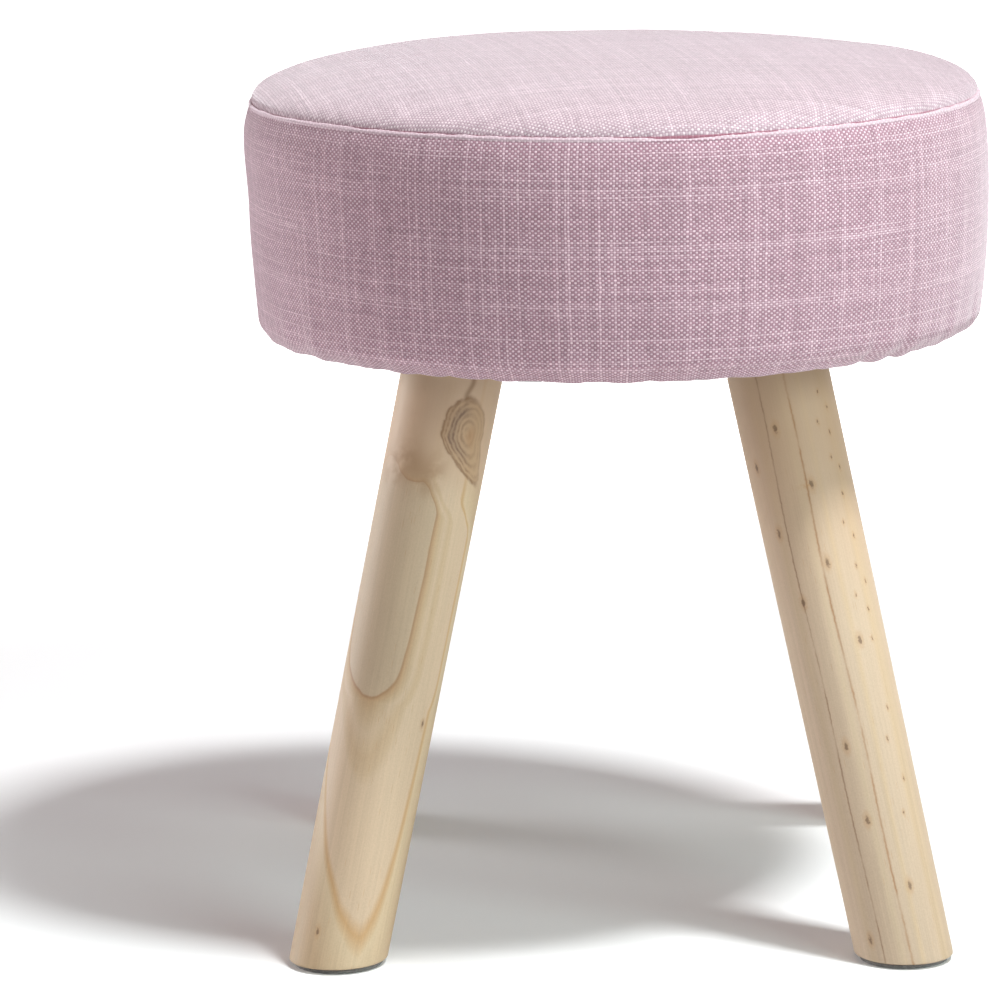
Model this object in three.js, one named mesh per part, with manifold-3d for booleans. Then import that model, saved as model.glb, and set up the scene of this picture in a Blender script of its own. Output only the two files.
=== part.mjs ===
// A round padded footstool. A sewn cloth cover of two panels holds wadding and foam on a round
// board, and four splayed round pine legs screw into tilted steel plates under the board.
// Millimetres, +Z up. The origin is on the floor under the middle of the seat, front towards -Y.
import * as THREE from 'three';
import { mergeVertices } from 'three/addons/utils/BufferGeometryUtils.js';
import Module from 'manifold-3d';

// Fits: the air left between pieces that touch, and how far a cutter runs past a face.
const gap = 0.3;
const overrun = 2;

// Cover: a domed top panel sewn to a side band, whose lower edge is gathered under the board.
const clothThickness = 0.8;
const seamRadius = 160;
const seamHeight = 357.5;
const crownRise = 20.5;
const crownPower = 2.1;
const seamLip = 0.7;
const seamAllowance = 10;
const sideBulge = 2.6;
const sideDrawIn = 1;
const coverBottom = 255;
const bottomRound = 8.5;
const hemWidth = 17;
const pleatDepth = 0.8;
const pleatCount = 16;
const stepsPerPleat = 3;

// Padding: soft wadding over a foam block that also folds down round the edge of the board.
const waddingThickness = 8;
const waddingEdge = 2;

// Seat board.
const boardThickness = 15;

// Dust cover: black cloth under the board, over the raw edge of the gathered hem.
const dustClothThickness = 0.6;
const dustOverlap = 6;
const dustStepRun = 4;

// Staples that hold the dust cover and the hem to the board.
const stapleCount = 12;
const stapleWidth = 10;
const stapleDepth = 8;
const stapleWire = 0.9;

// Legs: how far they lean outward along the diagonal, and their turning.
const splay = THREE.MathUtils.degToRad(16.54);
const legTopRadius = 21.7;
const legFootRadius = 20.5;
const legEase = 0.8;
const legSteps = 24;

// Felt pads glued under the feet.
const padRadius = 19;
const padThickness = 2;
const padEase = 0.4;

// Steel plates: a flange on the board with a raised cap whose face is square to the leg.
const plateSize = 50;
const plateCorner = 6;
const plateThickness = 2;
const plateClearance = 4.8;
const capRadius = 16.5;
const capLift = 1.1;
const capSteps = 20;
const bossRadius = 6.5;
const bossLength = 6;

// Hanger bolts: wood thread in the leg, machine thread in the plate.
const boltRadius = 4;
const boltWoodRadius = 3.6;
const boltInLeg = 30;
const boltOut = 16;
const boltPoint = 6;
const boltEase = 0.8;
const boltSteps = 10;

// Screws that hold the plates.
const screwInset = 6.5;
const screwRadius = 1.9;
const screwLength = 14;
const screwPoint = 4;
const screwHeadRadius = 3.6;
const screwHeadHeight = 2.2;
const screwSteps = 6;

// Outline shares, chosen by hand: places down the side, and the waist of a screw head.
const sideShares = [0.75, 0.5, 0.25];
const innerSideShare = 0.5;
const headWaistShare = 0.6;
const domeAngleShares = [0, 0.16, 0.34, 0.56, 0.8, 1];

// Colours of the finishes.
const finishes = {
  cover: { color: 0xd3b2bf, roughness: 0.9, metalness: 0 },
  wadding: { color: 0xf2f0ea, roughness: 1, metalness: 0 },
  foam: { color: 0xe9dfb4, roughness: 1, metalness: 0 },
  board: { color: 0xc9a878, roughness: 0.75, metalness: 0 },
  dustCloth: { color: 0x1d1d1f, roughness: 0.95, metalness: 0 },
  pine: { color: 0xdfc7a0, roughness: 0.6, metalness: 0 },
  steel: { color: 0xa9abad, roughness: 0.35, metalness: 0.9 },
  felt: { color: 0x6f6b68, roughness: 1, metalness: 0 },
};

// Sizes that follow from the ones above.
const roundSteps = pleatCount * stepsPerPleat;
const bottomRadius = seamRadius - sideDrawIn;
const sideBase = coverBottom + bottomRound;
const domeRadius = seamRadius - 2 * clothThickness - gap;
const boardBottom = coverBottom + clothThickness + gap;
const boardTop = boardBottom + boardThickness;
const boardRadius = bottomRadius - bottomRound - gap;
const hemInner = boardRadius - hemWidth;
const dustBottom = boardBottom - gap - dustClothThickness;
const dustRimTop = coverBottom - pleatDepth - gap;
const dustRadius = hemInner + dustOverlap;
const stapleRadius = hemInner + dustOverlap / 2;
const stapleTop = dustRimTop - dustClothThickness - gap;
const dustStepOut = hemInner - gap;
const dustStepIn = dustStepOut - dustStepRun;
const flangeTop = dustBottom - gap;
const flangeBottom = flangeTop - plateThickness;
const faceHeight = flangeBottom - capLift - capRadius * Math.tan(splay);
const legTopHeight = faceHeight - gap / Math.cos(splay);
const screwOffset = plateSize / 2 - screwInset;
const footHeight = padThickness + gap;

// The plates lie as far out as the step in the dust cover lets their outer corners go.
const plateArm = plateSize / 2 - plateCorner;
const plateLimit = dustStepIn - plateClearance - plateCorner;
const plateRadius = Math.sqrt(plateLimit ** 2 - plateArm ** 2) - plateArm;

// Radius at which the axis of a leg passes a height.
const axisRadiusAt = (height) => plateRadius + (faceHeight - height) * Math.tan(splay);
const legTopSpread = axisRadiusAt(legTopHeight);
const boltTopHeight = legTopHeight + boltOut * Math.cos(splay);
const boltHoleSpread = axisRadiusAt((boardBottom + boltTopHeight) / 2);
const boltHoleRadius = boltRadius / Math.cos(splay) + (boltTopHeight - boardBottom) * Math.tan(splay) + gap;

// The four corners of the seat, by name and by turn about the middle.
const corners = ['back_right', 'back_left', 'front_left', 'front_right'].map((name, index) => ({
  name,
  turn: Math.PI / 4 + (index * Math.PI) / 2,
}));
const plateScrews = [[1, 1], [1, -1], [-1, 1], [-1, -1]];

// Geometry helpers: a turned solid, a straight rod, and the joins and cuts.
function turned(outline, steps) {
  const points = outline.map(([radius, height]) => new THREE.Vector2(radius, height));
  return new THREE.LatheGeometry(points, steps).rotateX(Math.PI / 2);
}

function rod(radius, bottom, top, steps) {
  return turned([[0, bottom], [radius, bottom], [radius, top], [0, top]], steps);
}

const wasm = await Module();
wasm.setup();

function solid(geometry) {
  const bare = geometry.clone();
  bare.deleteAttribute('normal');
  bare.deleteAttribute('uv');
  const merged = mergeVertices(bare);
  const kept = [];
  for (let at = 0; at < merged.index.count; at += 3) {
    const [a, b, c] = [0, 1, 2].map((corner) => merged.index.getX(at + corner));
    if (a !== b && b !== c && c !== a) {
      kept.push(a, b, c);
    }
  }
  const vertProperties = new Float32Array(merged.attributes.position.array);
  const triVerts = new Uint32Array(kept);
  return new wasm.Manifold(new wasm.Mesh({ numProp: 3, vertProperties, triVerts }));
}

function geometryOf(body) {
  const mesh = body.getMesh();
  const geometry = new THREE.BufferGeometry();
  geometry.setAttribute('position', new THREE.BufferAttribute(new Float32Array(mesh.vertProperties), 3));
  geometry.setIndex(new THREE.BufferAttribute(new Uint32Array(mesh.triVerts), 1));
  geometry.computeVertexNormals();
  return geometry;
}

function cut(geometry, cutters) {
  return geometryOf(cutters.reduce((body, cutter) => body.subtract(solid(cutter)), solid(geometry)));
}

function piece(name, geometry, finish) {
  const mesh = new THREE.Mesh(geometry, new THREE.MeshStandardMaterial(finishes[finish]));
  mesh.name = name;
  return mesh;
}

// Cover outlines. A share of 0 is at the seam and 1 at the start of the bottom rounding.
const arch = (share) => 4 * share * (1 - share);
const sideRadiusAt = (share) => seamRadius + sideBulge * arch(share) - sideDrawIn * share;
const sideHeightAt = (share) => seamHeight + (sideBase - seamHeight) * share;
const allowanceShare = seamAllowance / (seamHeight - sideBase);

function bottomPoint(angle, inset) {
  const bend = bottomRound - inset;
  return [bottomRadius - bottomRound + bend * Math.sin(angle), sideBase - bend * Math.cos(angle)];
}

// Half of a flattened dome, from its rim up to its middle.
function domePoints(radius, rise) {
  return domeAngleShares.map((share) => {
    const angle = (share * Math.PI) / 2;
    const out = Math.max(0, Math.cos(angle)) ** (2 / crownPower);
    const up = Math.sin(angle) ** (2 / crownPower);
    return [share === 1 ? 0 : radius * out, seamHeight + rise * up];
  });
}

// Screw and bolt holes in what lies under the padding, at each corner.
function plateHoles(bottom, top) {
  return corners.flatMap(({ turn }) => [
    rod(boltHoleRadius, bottom, top, boltSteps).translate(boltHoleSpread, 0, 0).rotateZ(turn),
    ...plateScrews.map(([out, across]) =>
      rod(screwRadius + gap, bottom, top, screwSteps)
        .translate(plateRadius + out * screwOffset, across * screwOffset, 0)
        .rotateZ(turn),
    ),
  ]);
}

// Staple places and the holes that their legs need.
const stapleTurns = Array.from({ length: stapleCount }, (_, index) => ((index + 1 / 2) * 2 * Math.PI) / stapleCount);

function stapleHoles() {
  const across = (stapleWidth - stapleWire) / 2;
  const side = stapleWire + 2 * gap;
  const top = stapleTop + stapleDepth + gap;
  const bottom = stapleTop - overrun;
  return stapleTurns.flatMap((turn) =>
    [-across, across].map((along) =>
      new THREE.BoxGeometry(side, side, top - bottom)
        .translate(stapleRadius, along, (top + bottom) / 2)
        .rotateZ(turn),
    ),
  );
}

// The side band is one strip: seam allowance inside, folded lip, side, rounded bottom, hem.
function sideBand() {
  const sixth = Math.PI / 6;
  const outline = [
    [hemInner, coverBottom],
    ...[0, 1, 2, 3].map((step) => bottomPoint(step * sixth, 0)),
    ...sideShares.map((share) => [sideRadiusAt(share), sideHeightAt(share)]),
    [seamRadius, seamHeight - seamLip],
    [seamRadius - clothThickness, seamHeight + seamLip],
    [seamRadius - 2 * clothThickness, seamHeight],
    [seamRadius - 2 * clothThickness, seamHeight - seamAllowance],
    [sideRadiusAt(allowanceShare) - clothThickness, seamHeight - seamAllowance],
    [sideRadiusAt(innerSideShare) - clothThickness, sideHeightAt(innerSideShare)],
    ...[2, 1, 0].map((step) => bottomPoint((step * Math.PI) / 4, clothThickness)),
    [hemInner, coverBottom + clothThickness],
  ];
  outline.push(outline[0]);
  const strip = turned(outline, roundSteps);
  const place = strip.attributes.position;
  for (let at = 0; at < place.count; at += 1) {
    if (place.getZ(at) < coverBottom + gap) {
      const turn = Math.atan2(place.getX(at), -place.getY(at));
      place.setZ(at, place.getZ(at) - pleatDepth * Math.max(0, Math.cos(pleatCount * turn)));
    }
  }
  return cut(strip, stapleHoles());
}

// The top panel is domed, and its edge turns down inside the band as seam allowance.
function topPanel() {
  const inner = domePoints(domeRadius - clothThickness, crownRise - clothThickness);
  const outline = [
    [domeRadius - clothThickness, seamHeight - seamAllowance],
    [domeRadius, seamHeight - seamAllowance],
    ...domePoints(domeRadius, crownRise),
    ...inner.reverse(),
    [domeRadius - clothThickness, seamHeight - seamAllowance],
  ];
  return turned(outline, roundSteps);
}

// Wadding lies between the top panel and the foam and rounds the shoulder.
const waddingRadius = domeRadius - clothThickness - gap;
const waddingRise = crownRise - clothThickness - gap;
const foamRadius = waddingRadius - waddingEdge - gap;
const foamRise = waddingRise - waddingThickness - gap;

function wadding() {
  const inner = domePoints(waddingRadius - waddingEdge, waddingRise - waddingThickness);
  const outline = [...domePoints(waddingRadius, waddingRise), ...inner.reverse()];
  outline.push(outline[0]);
  return turned(outline, roundSteps);
}

// The foam block has a crowned top, drawn-in sides, and a rim that folds round the board.
function foam() {
  const skin = clothThickness + gap;
  const rimInner = boardRadius + gap;
  const shoulder = seamHeight - seamAllowance - gap;
  const outline = [
    [0, boardTop + gap],
    [rimInner, boardTop + gap],
    [rimInner, bottomPoint(Math.PI / 4, skin)[1]],
    bottomPoint(Math.PI / 4, skin),
    bottomPoint(Math.PI / 2, skin),
    [sideRadiusAt(innerSideShare) - skin - gap, sideHeightAt(innerSideShare)],
    [waddingRadius - gap, shoulder],
    ...domePoints(foamRadius, foamRise),
  ];
  return turned(outline, roundSteps);
}

function seatBoard() {
  const holes = [...plateHoles(boardBottom - overrun, boardTop + overrun), ...stapleHoles()];
  return cut(rod(boardRadius, boardBottom, boardTop, roundSteps), holes);
}

// The dust cover lies flat on the board and steps down over the hem.
function dustCover() {
  const rimBottom = dustRimTop - dustClothThickness;
  const outline = [
    [0, dustBottom],
    [dustStepIn, dustBottom],
    [dustStepOut, rimBottom],
    [dustRadius, rimBottom],
    [dustRadius, dustRimTop],
    [dustStepOut, dustRimTop],
    [dustStepIn, dustBottom + dustClothThickness],
    [0, dustBottom + dustClothThickness],
  ];
  const holes = [...plateHoles(dustBottom - overrun, boardBottom), ...stapleHoles()];
  return cut(turned(outline, roundSteps), holes);
}

function staple() {
  const half = stapleWidth / 2;
  const shape = new THREE.Shape([
    new THREE.Vector2(-half, -stapleWire),
    new THREE.Vector2(half, -stapleWire),
    new THREE.Vector2(half, stapleDepth),
    new THREE.Vector2(half - stapleWire, stapleDepth),
    new THREE.Vector2(half - stapleWire, 0),
    new THREE.Vector2(stapleWire - half, 0),
    new THREE.Vector2(stapleWire - half, stapleDepth),
    new THREE.Vector2(-half, stapleDepth),
  ]);
  const wire = new THREE.ExtrudeGeometry(shape, { depth: stapleWire, bevelEnabled: false });
  return wire.translate(0, 0, -stapleWire / 2).rotateX(Math.PI / 2).rotateZ(Math.PI / 2);
}

// Pieces along a leg are made with their top at zero, then tilted to the splay of the leg.
function tilted(geometry, spread, height) {
  return geometry.rotateY(-splay).translate(spread, 0, height);
}

// A turned leg: bored for its bolt, top square to its axis, foot sawn level with the floor.
function leg() {
  const footLevel = (footHeight - legTopHeight) / Math.cos(splay);
  const boreRadius = boltRadius + gap;
  const boreDepth = boltInLeg + gap;
  const outline = [
    [0, footLevel],
    [legFootRadius - legEase, footLevel],
    [legFootRadius, footLevel + legEase],
    [legTopRadius, -legEase],
    [legTopRadius - legEase, 0],
    [boreRadius, 0],
    [boreRadius, -boreDepth],
    [0, -boreDepth],
  ];
  const turning = turned(outline, legSteps);
  const place = turning.attributes.position;
  for (let at = 0; at < place.count; at += 1) {
    if (place.getZ(at) < footLevel / 2) {
      place.setZ(at, place.getZ(at) - place.getX(at) * Math.tan(splay));
    }
  }
  return turning;
}

function hangerBolt() {
  const outline = [
    [0, -boltInLeg],
    [boltWoodRadius, boltPoint - boltInLeg],
    [boltWoodRadius, -boltPoint],
    [boltRadius, -boltPoint],
    [boltRadius, boltOut - boltEase],
    [boltRadius - boltEase, boltOut],
    [0, boltOut],
  ];
  return turned(outline, boltSteps);
}

function legPlate() {
  const shape = new THREE.Shape();
  shape.absarc(plateArm, plateArm, plateCorner, 0, Math.PI / 2);
  shape.absarc(-plateArm, plateArm, plateCorner, Math.PI / 2, Math.PI);
  shape.absarc(-plateArm, -plateArm, plateCorner, Math.PI, (3 * Math.PI) / 2);
  shape.absarc(plateArm, -plateArm, plateCorner, (3 * Math.PI) / 2, 2 * Math.PI);
  const flange = new THREE.ExtrudeGeometry(shape, { depth: plateThickness, bevelEnabled: false, curveSegments: 3 });
  flange.translate(plateRadius, 0, flangeBottom);
  const capDepth = 2 * capRadius;
  const block = (lift) => {
    const box = new THREE.BoxGeometry(2 * capDepth, 2 * capDepth, 2 * capDepth);
    return tilted(box.translate(0, 0, lift - capDepth), plateRadius, faceHeight);
  };
  const column = (radius, top) =>
    rod(radius, flangeBottom - capDepth, top, capSteps).translate(plateRadius, 0, 0);
  const cap = solid(column(capRadius, flangeTop)).subtract(solid(block(0)));
  const hollow = solid(column(capRadius - plateThickness, flangeTop + overrun)).subtract(
    solid(block(plateThickness)),
  );
  const boss = solid(tilted(rod(bossRadius, 0, bossLength, boltSteps), plateRadius, faceHeight));
  const bore = tilted(rod(boltRadius + gap, -overrun, bossLength + overrun, boltSteps), plateRadius, faceHeight);
  const holes = plateScrews.map(([out, across]) =>
    rod(screwRadius + gap, flangeBottom - overrun, flangeTop + overrun, screwSteps).translate(
      plateRadius + out * screwOffset,
      across * screwOffset,
      0,
    ),
  );
  const pressed = solid(flange).add(cap).subtract(hollow).add(boss);
  return geometryOf([bore, ...holes].reduce((body, cutter) => body.subtract(solid(cutter)), pressed));
}

function plateScrew() {
  const outline = [
    [0, -screwHeadHeight],
    [screwHeadRadius * headWaistShare, -screwHeadHeight],
    [screwHeadRadius, -screwHeadHeight / 2],
    [screwHeadRadius, 0],
    [screwRadius, 0],
    [screwRadius, screwLength - screwPoint],
    [0, screwLength],
  ];
  return turned(outline, screwSteps);
}

function footPad() {
  const outline = [
    [0, 0],
    [padRadius - padEase, 0],
    [padRadius, padEase],
    [padRadius, padThickness - padEase],
    [padRadius - padEase, padThickness],
    [0, padThickness],
  ];
  return turned(outline, legSteps);
}

// The scene: the seat in the middle, and one group of pieces for each corner.
const footstool = new THREE.Group();
footstool.add(piece('cover_top_panel', topPanel(), 'cover'));
footstool.add(piece('cover_side_band', sideBand(), 'cover'));
footstool.add(piece('wadding', wadding(), 'wadding'));
footstool.add(piece('foam_pad', foam(), 'foam'));
footstool.add(piece('seat_board', seatBoard(), 'board'));
footstool.add(piece('dust_cover', dustCover(), 'dustCloth'));

stapleTurns.forEach((turn, index) => {
  const wire = piece(`staple_${index + 1}`, staple().translate(stapleRadius, 0, stapleTop), 'steel');
  wire.rotation.z = turn;
  footstool.add(wire);
});

for (const { name, turn } of corners) {
  const corner = new THREE.Group();
  corner.rotation.z = turn;

  const leaning = new THREE.Group();
  leaning.position.set(legTopSpread, 0, legTopHeight);
  leaning.rotation.y = -splay;
  leaning.add(piece(`leg_${name}`, leg(), 'pine'));
  leaning.add(piece(`hanger_bolt_${name}`, hangerBolt(), 'steel'));
  corner.add(leaning);

  corner.add(piece(`leg_plate_${name}`, legPlate(), 'steel'));

  plateScrews.forEach(([out, across], index) => {
    const screw = piece(`plate_screw_${name}_${index + 1}`, plateScrew(), 'steel');
    screw.position.set(plateRadius + out * screwOffset, across * screwOffset, flangeBottom - gap);
    corner.add(screw);
  });

  const pad = piece(`foot_pad_${name}`, footPad(), 'felt');
  pad.position.set(axisRadiusAt(footHeight), 0, 0);
  corner.add(pad);
  footstool.add(corner);
}

export default footstool;
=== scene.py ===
# %% [markdown]
# # A round padded footstool in Blender
#
# The object is a low round stool. A cloth cover of two panels is sewn round wadding and foam on a
# round board, and four splayed pine legs screw into steel plates under the board. Its solids were
# made in a CAD program. This script loads them and gives each piece the shape and finish that the
# photograph shows.

# %% Load the frame
import math

import bpy
import numpy as np
from mathutils import Matrix, Vector


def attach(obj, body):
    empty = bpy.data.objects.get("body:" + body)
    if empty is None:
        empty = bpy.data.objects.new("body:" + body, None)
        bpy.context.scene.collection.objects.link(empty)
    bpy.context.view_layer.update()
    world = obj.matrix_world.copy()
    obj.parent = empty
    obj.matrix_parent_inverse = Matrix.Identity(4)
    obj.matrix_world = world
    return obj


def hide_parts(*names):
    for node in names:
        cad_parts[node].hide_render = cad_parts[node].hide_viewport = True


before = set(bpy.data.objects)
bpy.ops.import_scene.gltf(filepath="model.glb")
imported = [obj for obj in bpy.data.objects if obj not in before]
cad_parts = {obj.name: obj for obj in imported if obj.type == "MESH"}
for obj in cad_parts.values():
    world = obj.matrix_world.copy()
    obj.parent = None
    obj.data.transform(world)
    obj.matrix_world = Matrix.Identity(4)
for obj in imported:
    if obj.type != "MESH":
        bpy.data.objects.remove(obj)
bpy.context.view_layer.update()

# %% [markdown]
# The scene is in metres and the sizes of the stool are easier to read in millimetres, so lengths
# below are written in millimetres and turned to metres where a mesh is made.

MM = 0.001
scene = bpy.context.scene

# %% [markdown]
# ## The camera
#
# The place of the camera was found by matching the outlines of the seat and the legs with the
# photograph. A long lens far away gives the same weak perspective. The camera looks slightly down
# and is turned a little, so its axes are worked out from three angles.

# %% Camera
LENS = 198.966
CAMERA_PLACE = Vector((0, -2.39219, 0.64809))
PAN, PITCH, ROLL = -0.02138, 0.19464, -0.01496

ahead = Vector((math.sin(PAN) * math.cos(PITCH), math.cos(PAN) * math.cos(PITCH), -math.sin(PITCH)))
level = Vector((math.cos(PAN), -math.sin(PAN), 0))
lift = level.cross(ahead)
picture_right = level * math.cos(ROLL) + lift * math.sin(ROLL)
picture_up = lift * math.cos(ROLL) - level * math.sin(ROLL)

lens = bpy.data.cameras.new("camera")
lens.lens = LENS
lens.clip_end = 50
camera = bpy.data.objects.new("camera", lens)
camera.matrix_world = Matrix.Translation(CAMERA_PLACE) @ Matrix(
    (picture_right, picture_up, -ahead)
).transposed().to_4x4()
scene.collection.objects.link(camera)
scene.camera = camera
print("camera at", tuple(CAMERA_PLACE))

# %% [markdown]
# ## Shader maths as Python
#
# A material is a net of nodes. Drawing it by hand is slow, so one small class wraps the output of a
# node. Adding, multiplying or comparing two wires adds the Math node that does it, and every other
# kind of node comes from the one method called node.


# %% Wire class
class Wire:
    """The output of a shader node, with arithmetic that adds the nodes it needs."""

    def __init__(self, tree, socket=None):
        self.tree = tree
        self.socket = socket

    def node(self, kind, settings=None, inputs=None, output=0):
        made = self.tree.nodes.new(kind)
        for name, value in (settings or {}).items():
            if name == "stops":
                while len(made.color_ramp.elements) < len(value):
                    made.color_ramp.elements.new(1)
                for element, (place, colour) in zip(made.color_ramp.elements, value):
                    element.position = place
                    element.color = colour
            else:
                setattr(made, name, value)
        for name, value in (inputs or {}).items():
            if isinstance(value, Wire):
                self.tree.links.new(value.socket, made.inputs[name])
            else:
                made.inputs[name].default_value = value
        return Wire(self.tree, made.outputs[output])

    def math(self, operation, *values):
        return self.node("ShaderNodeMath", {"operation": operation}, dict(enumerate(values)))

    def __add__(self, other):
        return self.math("ADD", self, other)

    def __radd__(self, other):
        return self.math("ADD", other, self)

    def __sub__(self, other):
        return self.math("SUBTRACT", self, other)

    def __rsub__(self, other):
        return self.math("SUBTRACT", other, self)

    def __mul__(self, other):
        return self.math("MULTIPLY", self, other)

    def __rmul__(self, other):
        return self.math("MULTIPLY", other, self)

    def __truediv__(self, other):
        return self.math("DIVIDE", self, other)

    def __pow__(self, other):
        return self.math("POWER", self, other)

    def __abs__(self):
        return self.math("ABSOLUTE", self)

    def sin(self):
        return self.math("SINE", self)

    def cos(self):
        return self.math("COSINE", self)

    def arctan2(self, other):
        """The angle, in radians, of a slope that rises by this value over a run of the other."""
        return self.math("ARCTAN2", self, other)

    def floor(self):
        return self.math("FLOOR", self)

    def below(self, other):
        return self.math("MINIMUM", self, other)

    def above(self, other):
        return self.math("MAXIMUM", self, other)

    def rise(self, low, high):
        """0 at low, 1 at high, with a smooth step between."""
        ends = {"Value": self, "From Min": low, "From Max": high}
        return self.node("ShaderNodeMapRange", {"interpolation_type": "SMOOTHSTEP"}, ends)

    def bell(self, middle, width):
        """1 where this value is at middle, falling to 0 about a width away."""
        away = (self - middle) / width
        return self.math("EXPONENT", away**2 * -1)

    def blend(self, low, high):
        """A colour between low and high, with this value as the share of high."""
        return self.node("ShaderNodeMix", {"data_type": "RGBA"}, {0: self, 6: low, 7: high}, 2)

    def dimmed(self, amount):
        """This colour times an amount."""
        return self.node("ShaderNodeVectorMath", {"operation": "SCALE"}, {0: self, 3: amount})

    def noise(self, scale, detail=2.0):
        """Soft noise from 0 to 1 at this place."""
        sizes = {"Vector": self, "Scale": scale, "Detail": detail}
        return self.node("ShaderNodeTexNoise", None, sizes)

    def chance(self):
        """A random number from 0 to 1 for this whole place."""
        return self.node("ShaderNodeTexWhiteNoise", None, {"Vector": self})

    def point(self, across, along, through=0.0):
        """A place from three numbers."""
        return self.node("ShaderNodeCombineXYZ", None, {0: across, 1: along, 2: through})

    def parts(self):
        """The three numbers of a place."""
        split = self.node("ShaderNodeSeparateXYZ", None, {0: self}).socket.node
        return [Wire(self.tree, output) for output in split.outputs]


print("Wire is ready")

# %% [markdown]
# A colour in a photograph is stored on a curved scale from 0 to 255, while a shader wants linear
# light. The helper below converts one to the other. Each finish starts from the same shader node,
# and a second helper sets or links its sockets.


# %% Colours and finishes
def photo_colour(red, green, blue):
    """A shader colour from the 0 to 255 values of a picture."""
    return (*(((c / 255 + 0.055) / 1.055) ** 2.4 for c in (red, green, blue)), 1.0)


def new_finish(name):
    """A material with its shader node, and a wire to start from."""
    material = bpy.data.materials.new(name)
    material.use_nodes = True
    return material, Wire(material.node_tree), material.node_tree.nodes["Principled BSDF"]


def set_sockets(shader, values):
    """Set plain values on the shader, and link what varies over the surface."""
    for name, value in values.items():
        if isinstance(value, Wire):
            value.tree.links.new(value.socket, shader.inputs[name])
        else:
            shader.inputs[name].default_value = value


def place_mm(start):
    """The place on the object, in millimetres."""
    place = start.node("ShaderNodeTexCoord", output="Object")
    return place.dimmed(1 / MM)


def relief(height, depth, strength=1.0):
    """A bump whose height from 0 to 1 is worth a depth in millimetres."""
    return height.node(
        "ShaderNodeBump", None, {"Strength": strength, "Distance": depth * MM, "Height": height}
    )


print("cream in linear light:", [round(c, 3) for c in photo_colour(223, 204, 180)])

# %% [markdown]
# ## Mesh helpers
#
# Nearly every piece of this stool is round, so its mesh is a stack of rings. An array of shape
# (rings, points in a ring, 3) is easy to bend with numpy before it becomes a mesh. One point in the
# middle of the first or last ring closes the piece, like the pole of a globe.


# %% Rings to mesh
def ring_faces(rings, first_pole, last_pole):
    """Points in metres and faces of rings in millimetres, closed by a pole where one is wanted."""
    count, around, _ = rings.shape
    points = [tuple(p) for p in (rings.reshape(-1, 3) * MM)]
    corner = np.arange(around)
    following = (corner + 1) % around
    faces = []
    for row in range(count - 1):
        low, high = row * around, (row + 1) * around
        four = low + corner, low + following, high + following, high + corner
        faces += np.stack(four, 1).tolist()
    for wanted, row, order in ((first_pole, 0, -1), (last_pole, count - 1, 1)):
        if wanted:
            pole = len(points)
            points.append(tuple(rings[row].mean(axis=0) * MM))
            rim = row * around
            fans = np.stack([rim + corner, rim + following, np.full(around, pole)], 1)
            faces += fans[:, ::order].tolist()
    return points, faces


def smooth_mesh(name, points, faces):
    """A smooth-shaded mesh."""
    mesh = bpy.data.meshes.new(name)
    mesh.from_pydata(points, [], faces)
    mesh.polygons.foreach_set("use_smooth", [True] * len(mesh.polygons))
    return mesh


def turned_rings(outline, around):
    """Rings of an outline of (radius, height) that is turned about the z axis."""
    outline = np.asarray(outline, float)
    turn = np.arange(around) * 2 * np.pi / around
    radius, height = outline[:, :1], outline[:, 1:]
    return np.stack([radius * np.cos(turn), radius * np.sin(turn), height + 0 * turn], 2)


def arc(middle, radius, start, end, steps):
    """Points on an arc of an outline, angles in degrees."""
    angles = np.radians(np.linspace(start, end, steps))
    return [(middle[0] + radius * math.cos(a), middle[1] + radius * math.sin(a)) for a in angles]


def line(start, end, steps):
    """Points on a straight stretch of an outline."""
    return [tuple(p) for p in np.linspace(start, end, steps)]


print("points of a line of three steps:", line((0, 0), (1, 0), 3))


# %% Pieces of the stool
def add_piece(name, mesh, material, stands_for=()):
    """Put a mesh in the scene as a piece of the stool."""
    mesh.materials.append(material)
    piece = bpy.data.objects.new(name, mesh)
    scene.collection.objects.link(piece)
    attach(piece, "root")
    if stands_for:
        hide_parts(*stands_for)
    return piece


def add_rings(name, rings, material, stands_for, poles=(True, True)):
    """Make a piece from rings. poles says whether its first and its last end are closed."""
    mesh = smooth_mesh(name, *ring_faces(rings, *poles))
    return add_piece(name, mesh, material, stands_for)


# %% [markdown]
# Hand-sewn cloth is never regular. The wander below is a sum of a few waves with random phases. It
# closes on itself after a full turn, and its seed makes every run give the same cloth. The other
# helpers fade a shape in and out, and say where round the seat a point lies.

# %% Irregular waves round the seat
WAVE_SIZE = 1.3  # brings the sum of the waves to about -1 to 1


def wander(turn, slowest, fastest, seed):
    """A smooth irregular wave of about -1 to 1 round a full turn."""
    chance = np.random.RandomState(seed)
    waves = np.arange(slowest, fastest + 1)
    sizes = chance.uniform(0.5, 1, len(waves)) / math.sqrt(len(waves))
    phases = chance.uniform(0, 2 * np.pi, len(waves))
    total = sum(size * np.cos(n * turn + phase) for size, n, phase in zip(sizes, waves, phases))
    return total * WAVE_SIZE


def bump_at(distance, width):
    """A smooth bump of height 1 about a width to each side."""
    return np.exp(-((distance / width) ** 2))


def climb(value, start, width):
    """0 below the start, 1 from a width above it, and straight between."""
    return np.clip((value - start) / width, 0, 1)


def turn_gap(turn, middle):
    """The signed angle from middle to turn, the short way round."""
    return (turn - middle + np.pi) % (2 * np.pi) - np.pi


def polar(points):
    """The angle round the seat, the distance from its middle and the height of points."""
    x, y, height = points[..., 0], points[..., 1], points[..., 2]
    return np.arctan2(y, x), np.hypot(x, y), height


print("wander, first values:", np.round(wander(np.linspace(0, 1, 4), 3, 9, 5), 2))

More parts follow.
